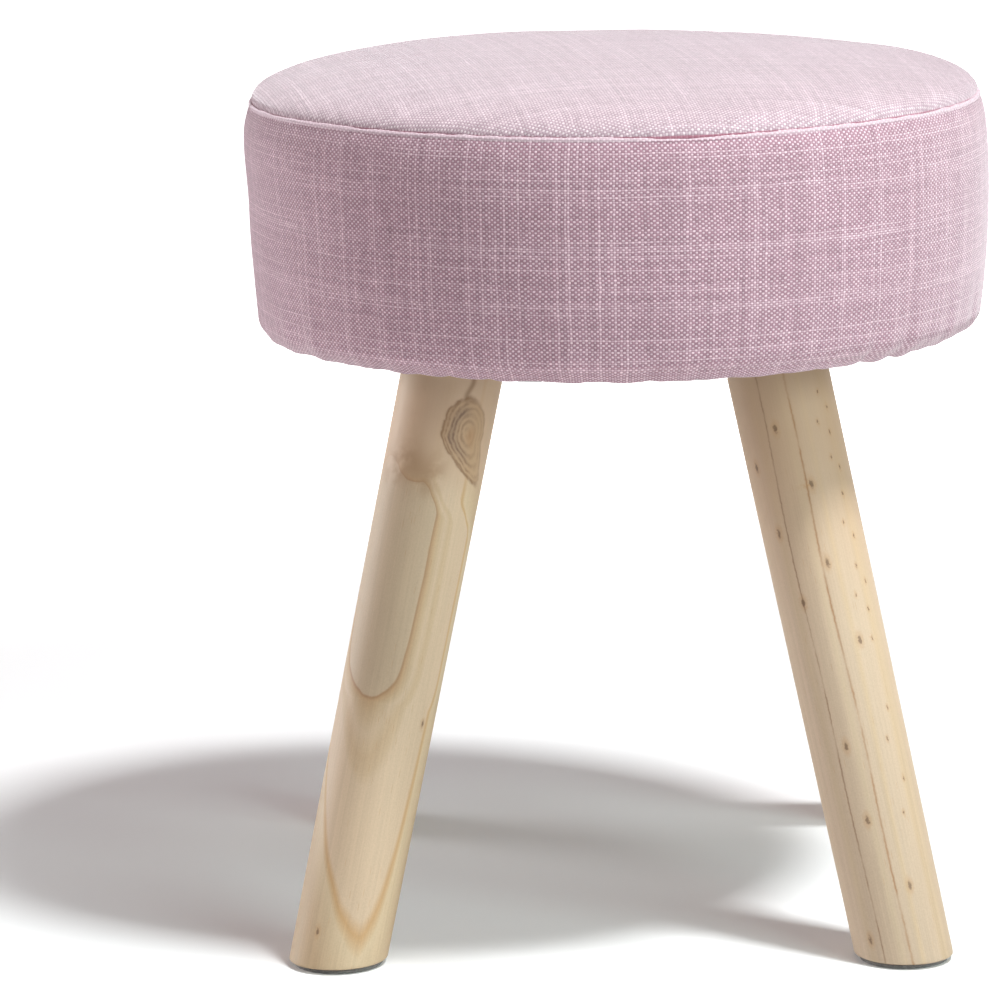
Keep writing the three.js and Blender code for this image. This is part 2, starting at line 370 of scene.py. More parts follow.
# %% [markdown]
# ## The seat's main sizes
#
# These are the sizes that the CAD source uses. The seam between the panels is a circle, the side
# bulges a little below it, and the bottom edge is rounded. The cover's folds are made by moving the
# points of a ring along the normal of the outline, so one helper turns an outline and does that.

# %% Seat sizes
SEAM_RADIUS = 160.0
SEAM_HEIGHT = 357.5
SIDE_BULGE = 2.6
SIDE_DRAW_IN = 1.0
SIDE_BASE = 263.5
BOTTOM_ROUND = 8.5
HEM_HEIGHT = SIDE_BASE - BOTTOM_ROUND
HEM_INNER = 133.2
NECK = 2.1  # how far the cover is drawn in at the seam
SEAM_REACH = SEAM_RADIUS - NECK
SEAT_TOP = 378.0
DOME_RADIUS = 156.9
DOME_BASE = 358.3
DOME_TOP = 377.0
DOME_POWER = 2 / 2.15  # under 1, so the dome is flatter than an ellipse
AROUND = 720
STITCHES = 290

seat_turn = np.arange(AROUND) * 2 * np.pi / AROUND
from_front = turn_gap(seat_turn, -np.pi / 2)


def round_rings(outline, push, sink=0):
    """Seat rings of an outline, pushed along its own normal and sunk straight down."""
    outline = np.asarray(outline, float)
    run = np.gradient(outline, axis=0)
    run /= np.linalg.norm(run, axis=1, keepdims=True)
    out, up = -run[:, 1:], run[:, :1]
    radius = outline[:, :1] + out * push
    height = outline[:, 1:] + up * push - sink
    return np.stack([radius * np.cos(seat_turn), radius * np.sin(seat_turn), height], 2)


print("millimetres between seam stitches:", round(2 * math.pi * SEAM_RADIUS / STITCHES, 2))

# %% [markdown]
# ## Woven cloth
#
# The cover is a plain weave of two colours: pale pink yarns run up the side and darker mauve yarns
# run round it. An image of cloth would show its repeats, so the weave is worked out for each point.
# The product of two sine waves has the pattern of a plain weave: it is positive where a pale yarn
# passes over and negative where a dark one does. Each yarn has its own tone, and slubs, thicker
# pale stretches, come and go along it. The weave follows the cloth: round and down on the side
# band, straight across the top panel.

# %% Cover cloth finish
WARP_PITCH = 1.235  # millimetres from one upright yarn to the next
WEFT_PITCH = 0.975  # and from one yarn that runs round to the next
SIDE_YARNS = photo_colour(217, 192, 200), photo_colour(163, 124, 137)
# The top's yarns are paler and flatter in tone than the band's: painted sheen of the same cloth
# seen at a grazing angle.
TOP_YARNS_PAINTED_SHEEN = photo_colour(215, 198, 203), photo_colour(180, 155, 164)
# Painted shade for the gaps between the yarns.
YARN_GAP_SHADE = photo_colour(128, 90, 104)
CLOTH_SHEEN = photo_colour(252, 248, 250)
YARNS_APART = 7.31, 5.17  # steps through the noise, so that no yarn is like the next
ALONG_A_YARN = 0.014, 0.016  # and slow steps, so that a tone lasts some centimetres
PLAIN_YARNS = 0.62, 0.58  # the share of yarns that have no slubs


def slub(wave, luck, tone, rarest):
    """Thicker pale stretches on the luckiest yarns, 1 in the middle of a yarn at most."""
    return luck.rise(rarest, 1.0) * tone.rise(0.32, 0.6) * wave**2


def cover_cloth(name, grain, edge_colour_and_light, yarns, slubs):
    """The woven cloth. grain gives the places across and along it, edge_colour_and_light paints
    light and shade at its sewn edge.
    """
    light_yarn, dark_yarn = yarns
    material, start, shader = new_finish(name)
    place = place_mm(start)

    # Yarns drift and sway, so their places are shifted before they are counted.
    across, along = grain(place)
    drift = place.noise(0.06, 2.0) - 0.5
    sway = place.noise(0.35, 1.0) - 0.5
    across = across + drift * 1.6 + sway * 0.35
    along = along + drift * 1.1 + sway * 0.3
    warp, weft = across / WARP_PITCH, along / WEFT_PITCH
    warp_wave, weft_wave = (warp * math.pi).sin(), (weft * math.pi).sin()
    warp_number, weft_number = warp.floor(), weft.floor()
    crossing = warp_wave * weft_wave

    # Each yarn has its own luck, and a tone that changes slowly along it.
    warp_luck = start.point(warp_number, 17.0).chance()
    weft_luck = start.point(weft_number, 31.0).chance()
    warp_at = start.point(warp_number * YARNS_APART[0], along * ALONG_A_YARN[0])
    weft_at = start.point(across * ALONG_A_YARN[1], weft_number * YARNS_APART[1], 9.0)
    warp_tone, weft_tone = warp_at.noise(1.0, 1.0), weft_at.noise(1.0, 1.0)
    warp_slub = slub(warp_wave, warp_luck, warp_tone, PLAIN_YARNS[0]) * slubs
    weft_slub = slub(weft_wave, weft_luck, weft_tone, PLAIN_YARNS[1]) * slubs
    bands = start.point(warp_number * 0.31, weft_number * 0.23).noise(1.0, 2.0) - 0.5
    luck = start.point(warp_number, weft_number).chance() - 0.5
    fuzz = place.noise(2.2, 3.0) - 0.5

    # The colour: dark yarn, pale yarn over it, uneven tone, and painted shade in the gaps between
    # yarns.
    over = (crossing + fuzz * 0.8 + luck * 0.3).rise(-0.35, 1.0)
    under_yarn = (weft_slub * 0.42).blend(dark_yarn, light_yarn)
    colour = (over + warp_slub * 0.34).below(1.0).blend(under_yarn, light_yarn)
    tone = 1.0 + (warp_tone + weft_tone - 1.0) * 0.3 + bands * 0.2 + luck * 0.14 + fuzz * 0.2
    tone = tone + (warp_luck + weft_luck - 1.0) * 0.09
    gap_shade = abs(crossing).rise(0.35, 0.0)
    colour = (gap_shade * 0.5).blend(colour.dimmed(tone), YARN_GAP_SHADE)
    height = abs(crossing) ** 0.6 + (weft_slub + warp_slub) * 0.3 + fuzz * 0.4
    # The edge function paints the seam's shade on the top and a highlight on the band's lip.
    set_sockets(
        shader,
        {
            "Base Color": edge_colour_and_light(place, colour),
            "Roughness": 0.9,
            "Specular IOR Level": 0.15,
            "Sheen Weight": 0.5,
            "Sheen Roughness": 0.42,
            "Sheen Tint": CLOTH_SHEEN,
            "Normal": relief(height, 0.15, 0.7),
        },
    )
    return material


print("yarns round the seat:", round(2 * math.pi * SEAM_RADIUS / WARP_PITCH))

# %% [markdown]
# The top panel was cut with its yarns turned a few degrees, which shows in the direction of its
# slubs. The side band is one strip that starts and ends in a seam at the back, so its place across
# is the angle from the front times the radius, and its place along runs down the side and then
# inward under the board. The raw edge of the top panel disappears in the seam, where its deep pink
# is partly its own colour and partly painted shade. The folded lip of the band catches more light
# than the rest, and this is painted on it as a paler colour, a painted highlight.
#
# The seam of the real seat isn't level: it dips most at its left end. The same sum gives this drop
# for the finishes here and for the meshes further on, because a Wire and a numpy array take the
# same arithmetic.

# %% Two cuts of the same cloth
TOP_TURN = math.radians(11)
TOP_DRAPE = 0.0000124  # how fast the yarns of the top spread where it bends down
HEM_FOLD = 154.0  # inside this radius the band lies flat under the board
AT_SEAM = 0.95  # the part of the drop that reaches the edges of the panels
PINK_BELOW, PINK_FROM = 358.7, 359.3  # heights of the top panel's raw edge
LIP_HIGHLIGHT_BELOW, LIP_HIGHLIGHT_FROM = 357.0, 357.4  # heights of the band's lip
# The deep pink of the seam is partly the colour of the top panel's raw edge and partly painted
# shade in the seam.
SEAM_PINK_AND_SHADE = photo_colour(176, 104, 124)
# The pale colour of the band's lip is a painted highlight, where the folded edge catches the light.
LIP_PAINTED_HIGHLIGHT = photo_colour(228, 206, 214)


def seam_drop(left, right):
    """How far the seam sinks, in millimetres, from how far left or right a place is."""
    return left**5 * 2.4 + right**5 * 1.9 - left**2 - right**2 * 1.6 + 1.9


def seam_height(place):
    """The height of a place on the cover as if the seam were level."""
    x, y, z = place.parts()
    aside = x / (x**2 + y**2) ** 0.5
    return z + seam_drop((aside * -1).above(0.0), aside.above(0.0)) * AT_SEAM


def top_grain(place):
    """Places across and along the yarns of the top panel."""
    x, y, z = place.parts()
    across = x * math.cos(TOP_TURN) + y * math.sin(TOP_TURN)
    along = y * math.cos(TOP_TURN) - x * math.sin(TOP_TURN)
    drape = (SEAT_TOP - z).above(0.0) ** 2.5 * TOP_DRAPE + 1
    return across * drape, along * drape


def band_grain(place):
    """Places round and down the side band."""
    x, y, z = place.parts()
    radius = (x**2 + y**2) ** 0.5
    return x.arctan2(y * -1) * SEAM_RADIUS, z + radius.below(HEM_FOLD)


def top_edge_pink_and_shade(place, colour):
    """The deep pink of the top panel's edge in the seam: partly its own colour, partly painted
    shade.
    """
    deep = seam_height(place).rise(PINK_FROM, PINK_BELOW)
    return (deep * 0.75).blend(colour, SEAM_PINK_AND_SHADE)


def band_lip_highlight(place, colour):
    """A painted highlight on the folded lip of the side band."""
    pale = seam_height(place).rise(LIP_HIGHLIGHT_BELOW, LIP_HIGHLIGHT_FROM)
    return (pale * 0.5).blend(colour, LIP_PAINTED_HIGHLIGHT)


top_cloth = cover_cloth("woven_cloth_top", top_grain, top_edge_pink_and_shade, TOP_YARNS_PAINTED_SHEEN, 0.4)
band_cloth = cover_cloth("woven_cloth_band", band_grain, band_lip_highlight, SIDE_YARNS, 1.0)
print("cloth nodes:", len(top_cloth.node_tree.nodes))

# %% [markdown]
# ## How the stuffing swells
#
# The foam pushes the cover outward, and not evenly. Lumps could be drawn by hand, but a cloth
# simulation finds where a stretched cover can give way. A plain pad in the seat's shape is remeshed
# in even steps, held at the seam and under the board, and blown up for twenty frames with no
# gravity, harder in some places than in others.

# %% Test pad
VOXEL = 5.5  # even steps of the pad, in millimetres
PAD_DOME = 20  # how high the pad's dome rises
PAD_AROUND = 180


def with_modifiers(piece):
    """A mesh of a piece as its modifiers leave it."""
    graph = bpy.context.evaluated_depsgraph_get()
    return bpy.data.meshes.new_from_object(piece.evaluated_get(graph))


def points_of(mesh):
    """The points of a mesh, in millimetres."""
    return np.array([vertex.co for vertex in mesh.vertices]) / MM


def dome_points(angles, radius, base, rise):
    """Points of the seat's flattened dome, at angles from its rim to its middle."""
    return [
        (radius * math.cos(a) ** DOME_POWER, base + rise * math.sin(a) ** DOME_POWER)
        for a in angles
    ]


def test_pad():
    """A closed pad in the seat's shape, remeshed in even steps."""
    angles = np.linspace(0, np.pi / 2, 30)[1:-1]
    outline = dome_points(angles, DOME_RADIUS, DOME_BASE - 1.3, PAD_DOME)[::-1]
    outline += line((SEAM_REACH, SEAM_HEIGHT), (SEAM_RADIUS + 1.5, 330), 6)
    outline += line((SEAM_RADIUS + 1.5, 325), (SEAM_RADIUS - 1, SIDE_BASE), 12)
    outline += line((150, HEM_HEIGHT), (20, HEM_HEIGHT), 10)
    mesh = smooth_mesh("pad", *ring_faces(turned_rings(outline, PAD_AROUND), True, True))
    pad = bpy.data.objects.new("pad", mesh)
    scene.collection.objects.link(pad)
    remesh = pad.modifiers.new("even steps", "REMESH")
    remesh.mode = "VOXEL"
    remesh.voxel_size = VOXEL * MM
    even = with_modifiers(pad)
    pad.modifiers.clear()
    pad.data = even
    return pad


print("steps of the test pad, millimetres:", VOXEL)

# %% Blowing it up
FRAMES = 20
PRESSURE = 8
STIFFNESS = 6
SEAM_HOLD = 0.8  # the sewn seam gives a little, the stapled hem doesn't
HELD_BELOW = 262


def add_group(piece, name, weights):
    """A vertex group with a weight for each point."""
    group = piece.vertex_groups.new(name=name)
    for index, weight in enumerate(weights):
        group.add([index], float(weight), "REPLACE")
    return group.name


def blown_pad():
    """The points of the test pad before and after it is blown up."""
    pad = test_pad()
    before = points_of(pad.data)
    turn, reach, height = polar(before)
    from_seam = np.hypot(reach - SEAM_REACH, height - SEAM_HEIGHT)
    held = np.maximum(SEAM_HOLD * bump_at(from_seam, 3.5), climb(HELD_BELOW - height, 0, 4))
    push = 0.5 + 0.5 * wander(turn, 2, 7, 41) * np.cos(height / 24)
    push += 0.35 * wander(turn, 3, 9, 42) * np.sin(reach / 22)
    cloth = pad.modifiers.new("stuffed cloth", "CLOTH")
    settings = cloth.settings
    settings.vertex_group_mass = add_group(pad, "held", held)
    settings.vertex_group_pressure = add_group(pad, "push", np.clip(push, 0.03, 1))
    settings.use_pressure = True
    settings.uniform_pressure_force = PRESSURE
    settings.tension_stiffness = settings.compression_stiffness = STIFFNESS
    settings.effector_weights.gravity = 0
    cloth.collision_settings.use_collision = False
    cloth.point_cache.frame_start, cloth.point_cache.frame_end = 1, FRAMES
    for number in range(1, FRAMES + 1):
        scene.frame_set(number)
    after = points_of(with_modifiers(pad))
    scene.frame_set(1)
    bpy.data.objects.remove(pad, do_unlink=True)
    return before, after


print("frames of the simulation:", FRAMES)

# %% [markdown]
# The outline of the seat was measured from the photograph and already holds the even part of the
# swelling. So only the difference of each place from the average of its ring counts. It is kept as
# two grids of smooth moves, one for the side and one for the top, scaled to a largest move that a
# tight cover would show. The test pad is deleted.

# %% Moves kept from the simulation
DIRECTIONS = 40
SMOOTHEST = 14  # waves round the seat that are kept
SIDE_ROWS = np.linspace(272, 352, 9)
TOP_ROWS = np.linspace(15, 150, 12)
LARGEST_ON_SIDE = 0.8
LARGEST_ON_TOP = 1.0


def swell_grid(turn, place, move, rows, largest):
    """Moves in rows of places, less the average of each row, smooth all the way round."""
    column = (np.floor(turn / (2 * np.pi) * DIRECTIONS) % DIRECTIONS).astype(int)
    grid = np.zeros((len(rows), DIRECTIONS))
    for index, row in enumerate(rows):
        near = np.abs(place - row) < rows[1] - rows[0]
        count = np.bincount(column[near], minlength=DIRECTIONS)
        grid[index] = np.bincount(column[near], move[near], DIRECTIONS) / np.maximum(count, 1)
    grid -= grid.mean(axis=1, keepdims=True)
    waves = np.fft.rfft(grid, axis=1)[:, :SMOOTHEST]
    smooth = np.fft.irfft(waves, AROUND, axis=1) * AROUND / DIRECTIONS
    return smooth * largest / max(np.abs(smooth).max(), 1e-6)


def swell_at(grid, rows, turn, place):
    """The move at each place, blended from the rows beside it."""
    column = (np.rint(turn / (2 * np.pi) * AROUND) % AROUND).astype(int)
    total, weight = 0.0, 1e-9
    for row, moves in zip(rows, grid):
        near = bump_at(place - row, 1.2 * (rows[1] - rows[0]))
        total = total + near * moves[column]
        weight = weight + near
    return total / weight


def measured_swell():
    """The grids of the side and of the top, from the blown up test pad."""
    before, after = blown_pad()
    turn, reach, height = polar(before)
    outward = polar(after)[1] - reach
    upward = after[:, 2] - height
    side = (reach > 152) & (height > 266) & (height < 356)
    top = height > 352
    print("test pad points:", len(before), "side moved:", outward[side].std().round(3))
    return (
        swell_grid(turn[side], height[side], outward[side], SIDE_ROWS, LARGEST_ON_SIDE),
        swell_grid(turn[top], reach[top], upward[top], TOP_ROWS, LARGEST_ON_TOP),
    )


side_swell = np.zeros((len(SIDE_ROWS), AROUND))
top_swell = np.zeros((len(TOP_ROWS), AROUND))
side_swell, top_swell = measured_swell()
print("swell kept, millimetres:", side_swell.std().round(3), top_swell.std().round(3))

# %% [markdown]
# ## How the padding has settled
#
# A stuffed seat is never quite round. In the photograph the left side slopes in towards the bottom,
# the right side stands out a little, and the shoulders above both ends of the seam are full. The
# seam dips at its ends. The bottom edge rises in front and to the right, and the top sinks a little
# at the back and stands up at its right. One helper makes these small moves for every soft piece,
# so the layers stay in step. Where the padding wraps the board it stays in its place.


# %% Sizes of the settling
SIDE_SPAN = 102  # height from the bottom edge to the seam
LEAN_IN, LEAN_OUT, RIGHT_OUT = -2.0, 2.9, 0.9  # low at the left, high at the left, at the right
LEFT_SHOULDER, RIGHT_SHOULDER, SHOULDER_HEIGHT = 1.7, 1.3, 364
SUNK, SUNK_TURN = 2.0, 2.8  # depth, and the angle from the front
RAISED, RAISED_TURN = 1.0, 1.85
FRONT_RISE, EDGE_SAG = 4.3, 0.9  # the bottom edge in front, and all round
SIDE_TILT, FREE_TILT, LOW_TILT = 0.0015, -0.0025, 0.0096  # for each millimetre to the right
FREE_SHIFT, FREE_LIFT, FREE_SHRINK = 1.08, 0.33, 0.0069
print("the left end of the seam sinks, millimetres:", round(seam_drop(1.0, 0.0), 2))


# %% Settled padding
def settled(rings):
    """Seat rings with the small lean and bulges of the padding."""
    turn, reach, height = polar(rings)
    x, y = rings[:, :, 0], rings[:, :, 1]
    place = turn_gap(turn, -np.pi / 2)
    aside = x / np.maximum(reach, 1)
    left, right = np.clip(-aside, 0, 1), np.clip(aside, 0, 1)
    front = np.clip(-y / 150, 0, 1)

    # Masks: up the side, near the edge, clear of the board, and along the bottom edge.
    share = climb(height, HEM_HEIGHT, SIDE_SPAN)
    upper = climb(share, 0.52, 0.38)
    upper = upper * upper * (3 - 2 * upper)
    edge = climb(reach, 140, 12)
    free = np.maximum(climb(height, 271.5, 10), climb(reach, 150.5, 6))
    low = np.clip(1 - share / 0.3, 0, 1) * climb(reach, 150, 4)

    # Moves outward.
    lean = left * (LEAN_IN + LEAN_OUT * upper) + right * RIGHT_OUT
    bulge = swell_at(side_swell, SIDE_ROWS, turn, height) * edge
    bulge *= climb(height, 268, 20) * climb(SEAM_HEIGHT - 3 - height, 0, 14)
    shoulder = LEFT_SHOULDER * left**5 + RIGHT_SHOULDER * right**5
    shoulder *= bump_at(height - SHOULDER_HEIGHT, 6) * edge
    outward = lean * edge + bulge + shoulder

    # Moves up and down.
    crest = swell_at(top_swell, TOP_ROWS, turn, reach) * climb(height, 350, 6)
    crest *= climb(SEAM_REACH - 2 - reach, 0, 12) * climb(reach, 12, 50)
    drop = seam_drop(left, right) * bump_at(height - 356, 9) * climb(reach, 115, 35)
    inward = SEAM_REACH - reach
    sunk = SUNK * bump_at(turn_gap(place, SUNK_TURN), 0.48) * bump_at(inward - 32, 34)
    raised = RAISED * bump_at(place - RAISED_TURN, 0.3) * bump_at(inward - 22, 24)
    crowned = (raised - sunk) * climb(height, 340, 12)
    tilt = x * (SIDE_TILT * share + FREE_TILT * free + LOW_TILT * low)
    bottom = low * (FRONT_RISE * front**1.5 - EDGE_SAG)

    rings[:, :, :2] *= (1 + outward / np.maximum(reach, 1) - FREE_SHRINK * free)[:, :, None]
    rings[:, :, 0] += FREE_SHIFT * free
    rings[:, :, 2] += tilt + FREE_LIFT * free + crowned + bottom + crest - drop
    return rings


print("a point at the left of the seam moves to", settled(np.array([[[-160.0, 0, 357]]])).round(2))

# %% [markdown]
# ## Top panel
#
# The top panel is a disc of cloth over the crowned padding. Its edge turns down inside the seam.
# Real cloth is pulled in a little at each stitch and puckers where the sewing was uneven: in the
# photograph there is one open pucker right of the middle, with a soft fold beside it. The outline
# is the dome of the CAD model, in much finer rings, and the puckers are moves along its normal that
# fade within a few millimetres of the seam. A Solidify modifier gives the cloth its thickness.

# %% Top panel rings
PUCKER = math.radians(10.5)
PUCKER_HALF = math.radians(7.0)
FOLD = math.radians(22)
TOP_TUCK = 155.7  # radius of the edge that hangs inside the seam
STITCH_PULL, EASE, OPENING, FOLD_DEPTH = 0.10, 0.6, 1.2, 0.5  # millimetres

dome_angles = (np.linspace(0, 1, 92) ** 1.25)[:-1] * np.pi / 2
dome = dome_points(dome_angles, DOME_RADIUS, DOME_BASE, DOME_TOP - DOME_BASE)
tucked = line((TOP_TUCK, 349.5), (TOP_TUCK, 356.6), 6)
tucked += [(155.9, 357.2), (156.3, 357.7), (156.7, 358.0)]
from_rim = np.hypot(*(np.array(dome) - dome[0]).T)
from_seam = np.concatenate([np.zeros(len(tucked)), from_rim])[:, None]

pull = STITCH_PULL * np.cos(STITCHES * seat_turn) * np.exp(-from_seam / 1.6)
ease = 0.22 * wander(seat_turn, 14, 60, 11) * np.exp(-from_seam / 5)
open_pucker = bump_at(from_front - PUCKER, PUCKER_HALF) * bump_at(from_seam - 1, 4.5)
fold_line = bump_at(from_seam - 8 - 18 * (from_front - FOLD), 2.2)
fold_line = fold_line * bump_at(from_front - FOLD, 0.11)
top_sink = pull - EASE * ease + OPENING * open_pucker + FOLD_DEPTH * fold_line
top_rings = settled(round_rings(tucked + dome, -top_sink))
print("deepest pucker, millimetres:", top_sink.max().round(2))


# %% Top panel piece
def thicken(panel, thickness):
    """Give a panel of the cover the thickness of its cloth, on its inner side."""
    modifier = panel.modifiers.new("cloth thickness", "SOLIDIFY")
    modifier.thickness = thickness * MM
    modifier.offset = -1


top_piece = add_rings(
    "seat_top", top_rings, top_cloth, ["cover_top_panel"], (False, True)
)
thicken(top_piece, 0.8)
print("top panel points:", len(top_piece.data.vertices))

# %% [markdown]
# ## Side band
#
# The band is one strip of cloth. Its upper edge is folded over and makes a thin lip round the seam,
# its lower edge is gathered over the rounded edge of the board and stapled underneath. The outline
# goes up inside the seam, over the lip, down the side, round the bottom edge and in under the
# board.

# %% Side band outline
side_shares = np.linspace(0.035, 1, 74)
side = [
    (
        SEAM_RADIUS + SIDE_BULGE * 4 * s * (1 - s) - SIDE_DRAW_IN * s - NECK * math.exp(-13.4 * s),
        SEAM_HEIGHT + (SIDE_BASE - SEAM_HEIGHT) * s,
    )
    for s in side_shares
]
inside = line((SEAM_REACH - 1.6, SEAM_HEIGHT - 8), (SEAM_REACH - 1.3, SEAM_HEIGHT - 1), 6)
lip = arc((SEAM_REACH - 0.5, SEAM_HEIGHT - 0.1), 0.6, 180, -35, 8)
lip += [(SEAM_REACH + 0.12, 356.4), (SEAM_REACH + 0.35, 355.7)]
rounding = arc((SEAM_RADIUS - 9.5, SIDE_BASE), BOTTOM_ROUND, -6, -90, 14)
hem = line((SEAM_RADIUS - 10.6, HEM_HEIGHT), (HEM_INNER, HEM_HEIGHT), 13)
band_outline = np.array(inside + lip + side + rounding + hem)

steps_down = np.hypot(*np.diff(band_outline, axis=0).T)
run_down = np.concatenate([[0], np.cumsum(steps_down)])[:, None]
lip_top = len(inside) + 5
edge_middle = len(inside + lip + side) + len(rounding) // 2
from_lip = run_down - run_down[lip_top]
above_edge = run_down[edge_middle] - run_down
print("length of cloth from lip to bottom edge:", round(float((from_lip + above_edge)[0, 0]), 1))

# %% [markdown]
# Gathering makes pinched creases: they are deepest at the bottom edge and run out a few centimetres
# up. Each crease gets its own place, width, depth and height from a seeded list of random numbers,
# because creases of one size would look like a machine pleat. A softer billow lies between them.

# %% Gathered creases of the band
CREASES = 46
luck = np.random.RandomState(7)
crease_turns = (np.arange(CREASES) + luck.uniform(-0.32, 0.32, CREASES)) * 2 * np.pi / CREASES
crease_widths = luck.uniform(1.6, 3.6, CREASES)
crease_depths = luck.uniform(0.15, 0.55, CREASES)
crease_heights = luck.uniform(8, 26, CREASES)


def fading_up(height):
    """1 at the bottom edge and under the board, fading over a height above the edge."""
    return np.where(above_edge > 0, bump_at(above_edge, height), 1)


crease = np.zeros((len(band_outline), AROUND))
spread = 1 + np.clip(above_edge, 0, 60) / 22
for angle, width, depth, top in zip(crease_turns, crease_widths, crease_depths, crease_heights):
    away = turn_gap(seat_turn, angle) * SEAM_RADIUS
    crease += depth * bump_at(away / spread, width) * fading_up(top)
billow = wander(seat_turn, 22, 64, 21) * fading_up(17)
print("deepest crease, millimetres:", round(float(crease.max()), 2))

# %% [markdown]
# Three more things are seen on the band. The lip of the seam rises and falls a little between
# stitches and drops where the pucker opens. The strip closes in an upright seam at the back. Under
# the board the hem lies flatter, because the staples and the dust cover press it to the board.

# %% Side band rings
HEM_PRESSED = 139.6  # radius that the dust cover reaches
LIP_DROP = 0.95  # how far the lip sinks where the pucker opens
RIDGE, GROOVE_DEPTH = 0.35, 0.9  # of the closing seam at the back
at_lip = bump_at(from_lip, 2.4)
lip_play = STITCH_PULL * np.cos(STITCHES * seat_turn) + 0.16 * wander(seat_turn, 20, 90, 31)
lip_sink = LIP_DROP * bump_at(from_front - PUCKER, PUCKER_HALF)
lip_sink = lip_sink + 0.12 * wander(seat_turn, 4, 18, 32)
pressed = (band_outline[:, :1] < HEM_PRESSED) & (above_edge < 0)
from_back = turn_gap(seat_turn, np.pi / 2) * SEAM_RADIUS
closing = RIDGE * bump_at(np.abs(from_back) - 2.6, 1.6) - GROOVE_DEPTH * bump_at(from_back, 0.8)
closing = closing * (above_edge > -8) * (from_lip > 0)
band_push = (0.3 * billow - 1.0 * crease - 0.2) * np.where(pressed, 0.45, 1.0)
band_push = band_push + lip_play * at_lip + closing
band_push = np.where(pressed, np.clip(band_push, -0.2, 1.1), band_push)
band_rings = settled(round_rings(band_outline, band_push, at_lip * lip_sink))

band_piece = add_rings(
    "seat_band", band_rings, band_cloth, ["cover_side_band"], (False, False)
)
thicken(band_piece, 0.7)
print("band points:", len(band_piece.data.vertices))

# %% [markdown]
# ## Seam thread
#
# The two panels are sewn together with a deep pink thread that lies in the groove beside the lip.
# It shows as short dashes where the seam pulls open at the right of the stool. Each stitch is a
# small capsule, and all of them together are one mesh, because 290 pieces would slow everything.

# %% Thread finish
thread_finish, start, shader = new_finish("seam_thread")
twist = place_mm(start).noise(5.0, 2.0)
thread_colour = twist.rise(0.3, 0.7).blend(photo_colour(150, 84, 104), photo_colour(196, 132, 150))
set_sockets(
    shader,
    {"Base Color": thread_colour, "Roughness": 0.6, "Normal": relief(twist, 0.1)},
)
print("thread nodes:", len(thread_finish.node_tree.nodes))


# %% Stitches in the seam groove
THREAD_REACH = SEAM_REACH - 1.55
SLACK_MIDDLE = math.radians(62)  # where the seam pulls open, from the front
SLACK_HALF = 0.2


def stitch_rings(angle, lift_up):
    """Rings of one stitch, a capsule along the seam at an angle round the seat."""
    ends = np.array([-1.25, -1.05, -0.4, 0.4, 1.05, 1.25])[:, None]
    girth = np.array([0.08, 0.22, 0.28, 0.28, 0.22, 0.08])[:, None]
    dip = np.array([-0.45, -0.25, 0.0, 0.0, -0.25, -0.45])[:, None]
    around = np.arange(6) * np.pi / 3
    radius = THREAD_REACH + girth * np.cos(around)
    height = SEAM_HEIGHT + lift_up + dip + girth * np.sin(around)
    along = angle + (ends + 0 * around) / SEAM_REACH
    return settled(np.stack([radius * np.cos(along), radius * np.sin(along), height], 2))


points, faces = [], []
for index in range(STITCHES):
    angle = (index + 0.5) * 2 * math.pi / STITCHES
    shown = float(bump_at(turn_gap(angle, SLACK_MIDDLE - math.pi / 2), SLACK_HALF))
    stitch = ring_faces(stitch_rings(angle, -0.1 + 0.85 * shown), True, True)
    faces += [[len(points) + corner for corner in face] for face in stitch[1]]
    points += stitch[0]
stitches = smooth_mesh("seam_thread", points, faces)
add_piece("seam_thread", stitches, thread_finish)
print("stitches:", STITCHES, "points:", len(points))

# %% [markdown]
# ## Pine
#
# A pine leg is turned from a board, so its surface cuts through the yearly rings of the tree.
# Where the surface lies along the rings it shows ovals and tongues, and where it cuts across them
# it shows straight lines. The finish works out, for each point of the leg, how many millimetres it
# lies from the middle of such a figure, measured through the rings, and a colour ramp turns that
# distance into pale early wood and amber late wood. Fine streaks, short resin dashes and pin knots
# are added on top, all stretched along the leg.

# %% Leg sizes and places
SPLAY = math.radians(16.54)
LEG_SPREAD = 97.655
LEG_TOP = 246.587
LEG_LENGTH = 254.832
LEG_TOP_RADIUS = 21.7
LEG_FOOT_RADIUS = 20.5
CORNERS = {"back_right": 45, "back_left": 135, "front_left": 225, "front_right": 315}


def corner_turn(corner):
    """The turn round the seat's middle from +X to a corner."""
    return Matrix.Rotation(math.radians(CORNERS[corner]), 4, "Z")


def leg_frame(corner):
    """The place and tilt of a leg: its top at the origin and its axis down the local z."""
    place = Matrix.Translation((LEG_SPREAD * MM, 0, LEG_TOP * MM))
    return corner_turn(corner) @ place @ Matrix.Rotation(-SPLAY, 4, "Y")


print("leg top, front left:", [round(v, 4) for v in leg_frame("front_left").translation])

# %% Places and streaks of a leg
DEGREES = 180 / math.pi
RADIANS = math.pi / 180
ARC = 0.37  # millimetres round a leg for one degree
DASH_COLUMN, DASH_CELL = 1.15, 7.0  # millimetres across and along


def leg_place(start, corner):
    """The place on a leg in its own frame, in millimetres."""
    place = start.node("ShaderNodeTexCoord", output="Object")
    top = leg_frame(corner)
    turned = place.node(
        "ShaderNodeMapping",
        {"vector_type": "TEXTURE"},
        {"Vector": place, "Location": top.translation, "Rotation": top.to_euler()},
    )
    return turned.dimmed(1 / MM)


def streaks(place, across, along, detail=2.0):
    """Noise that is stretched along the leg."""
    x, y, z = place.parts()
    return place.point(x * across, y * across, z * along).noise(1.0, detail)


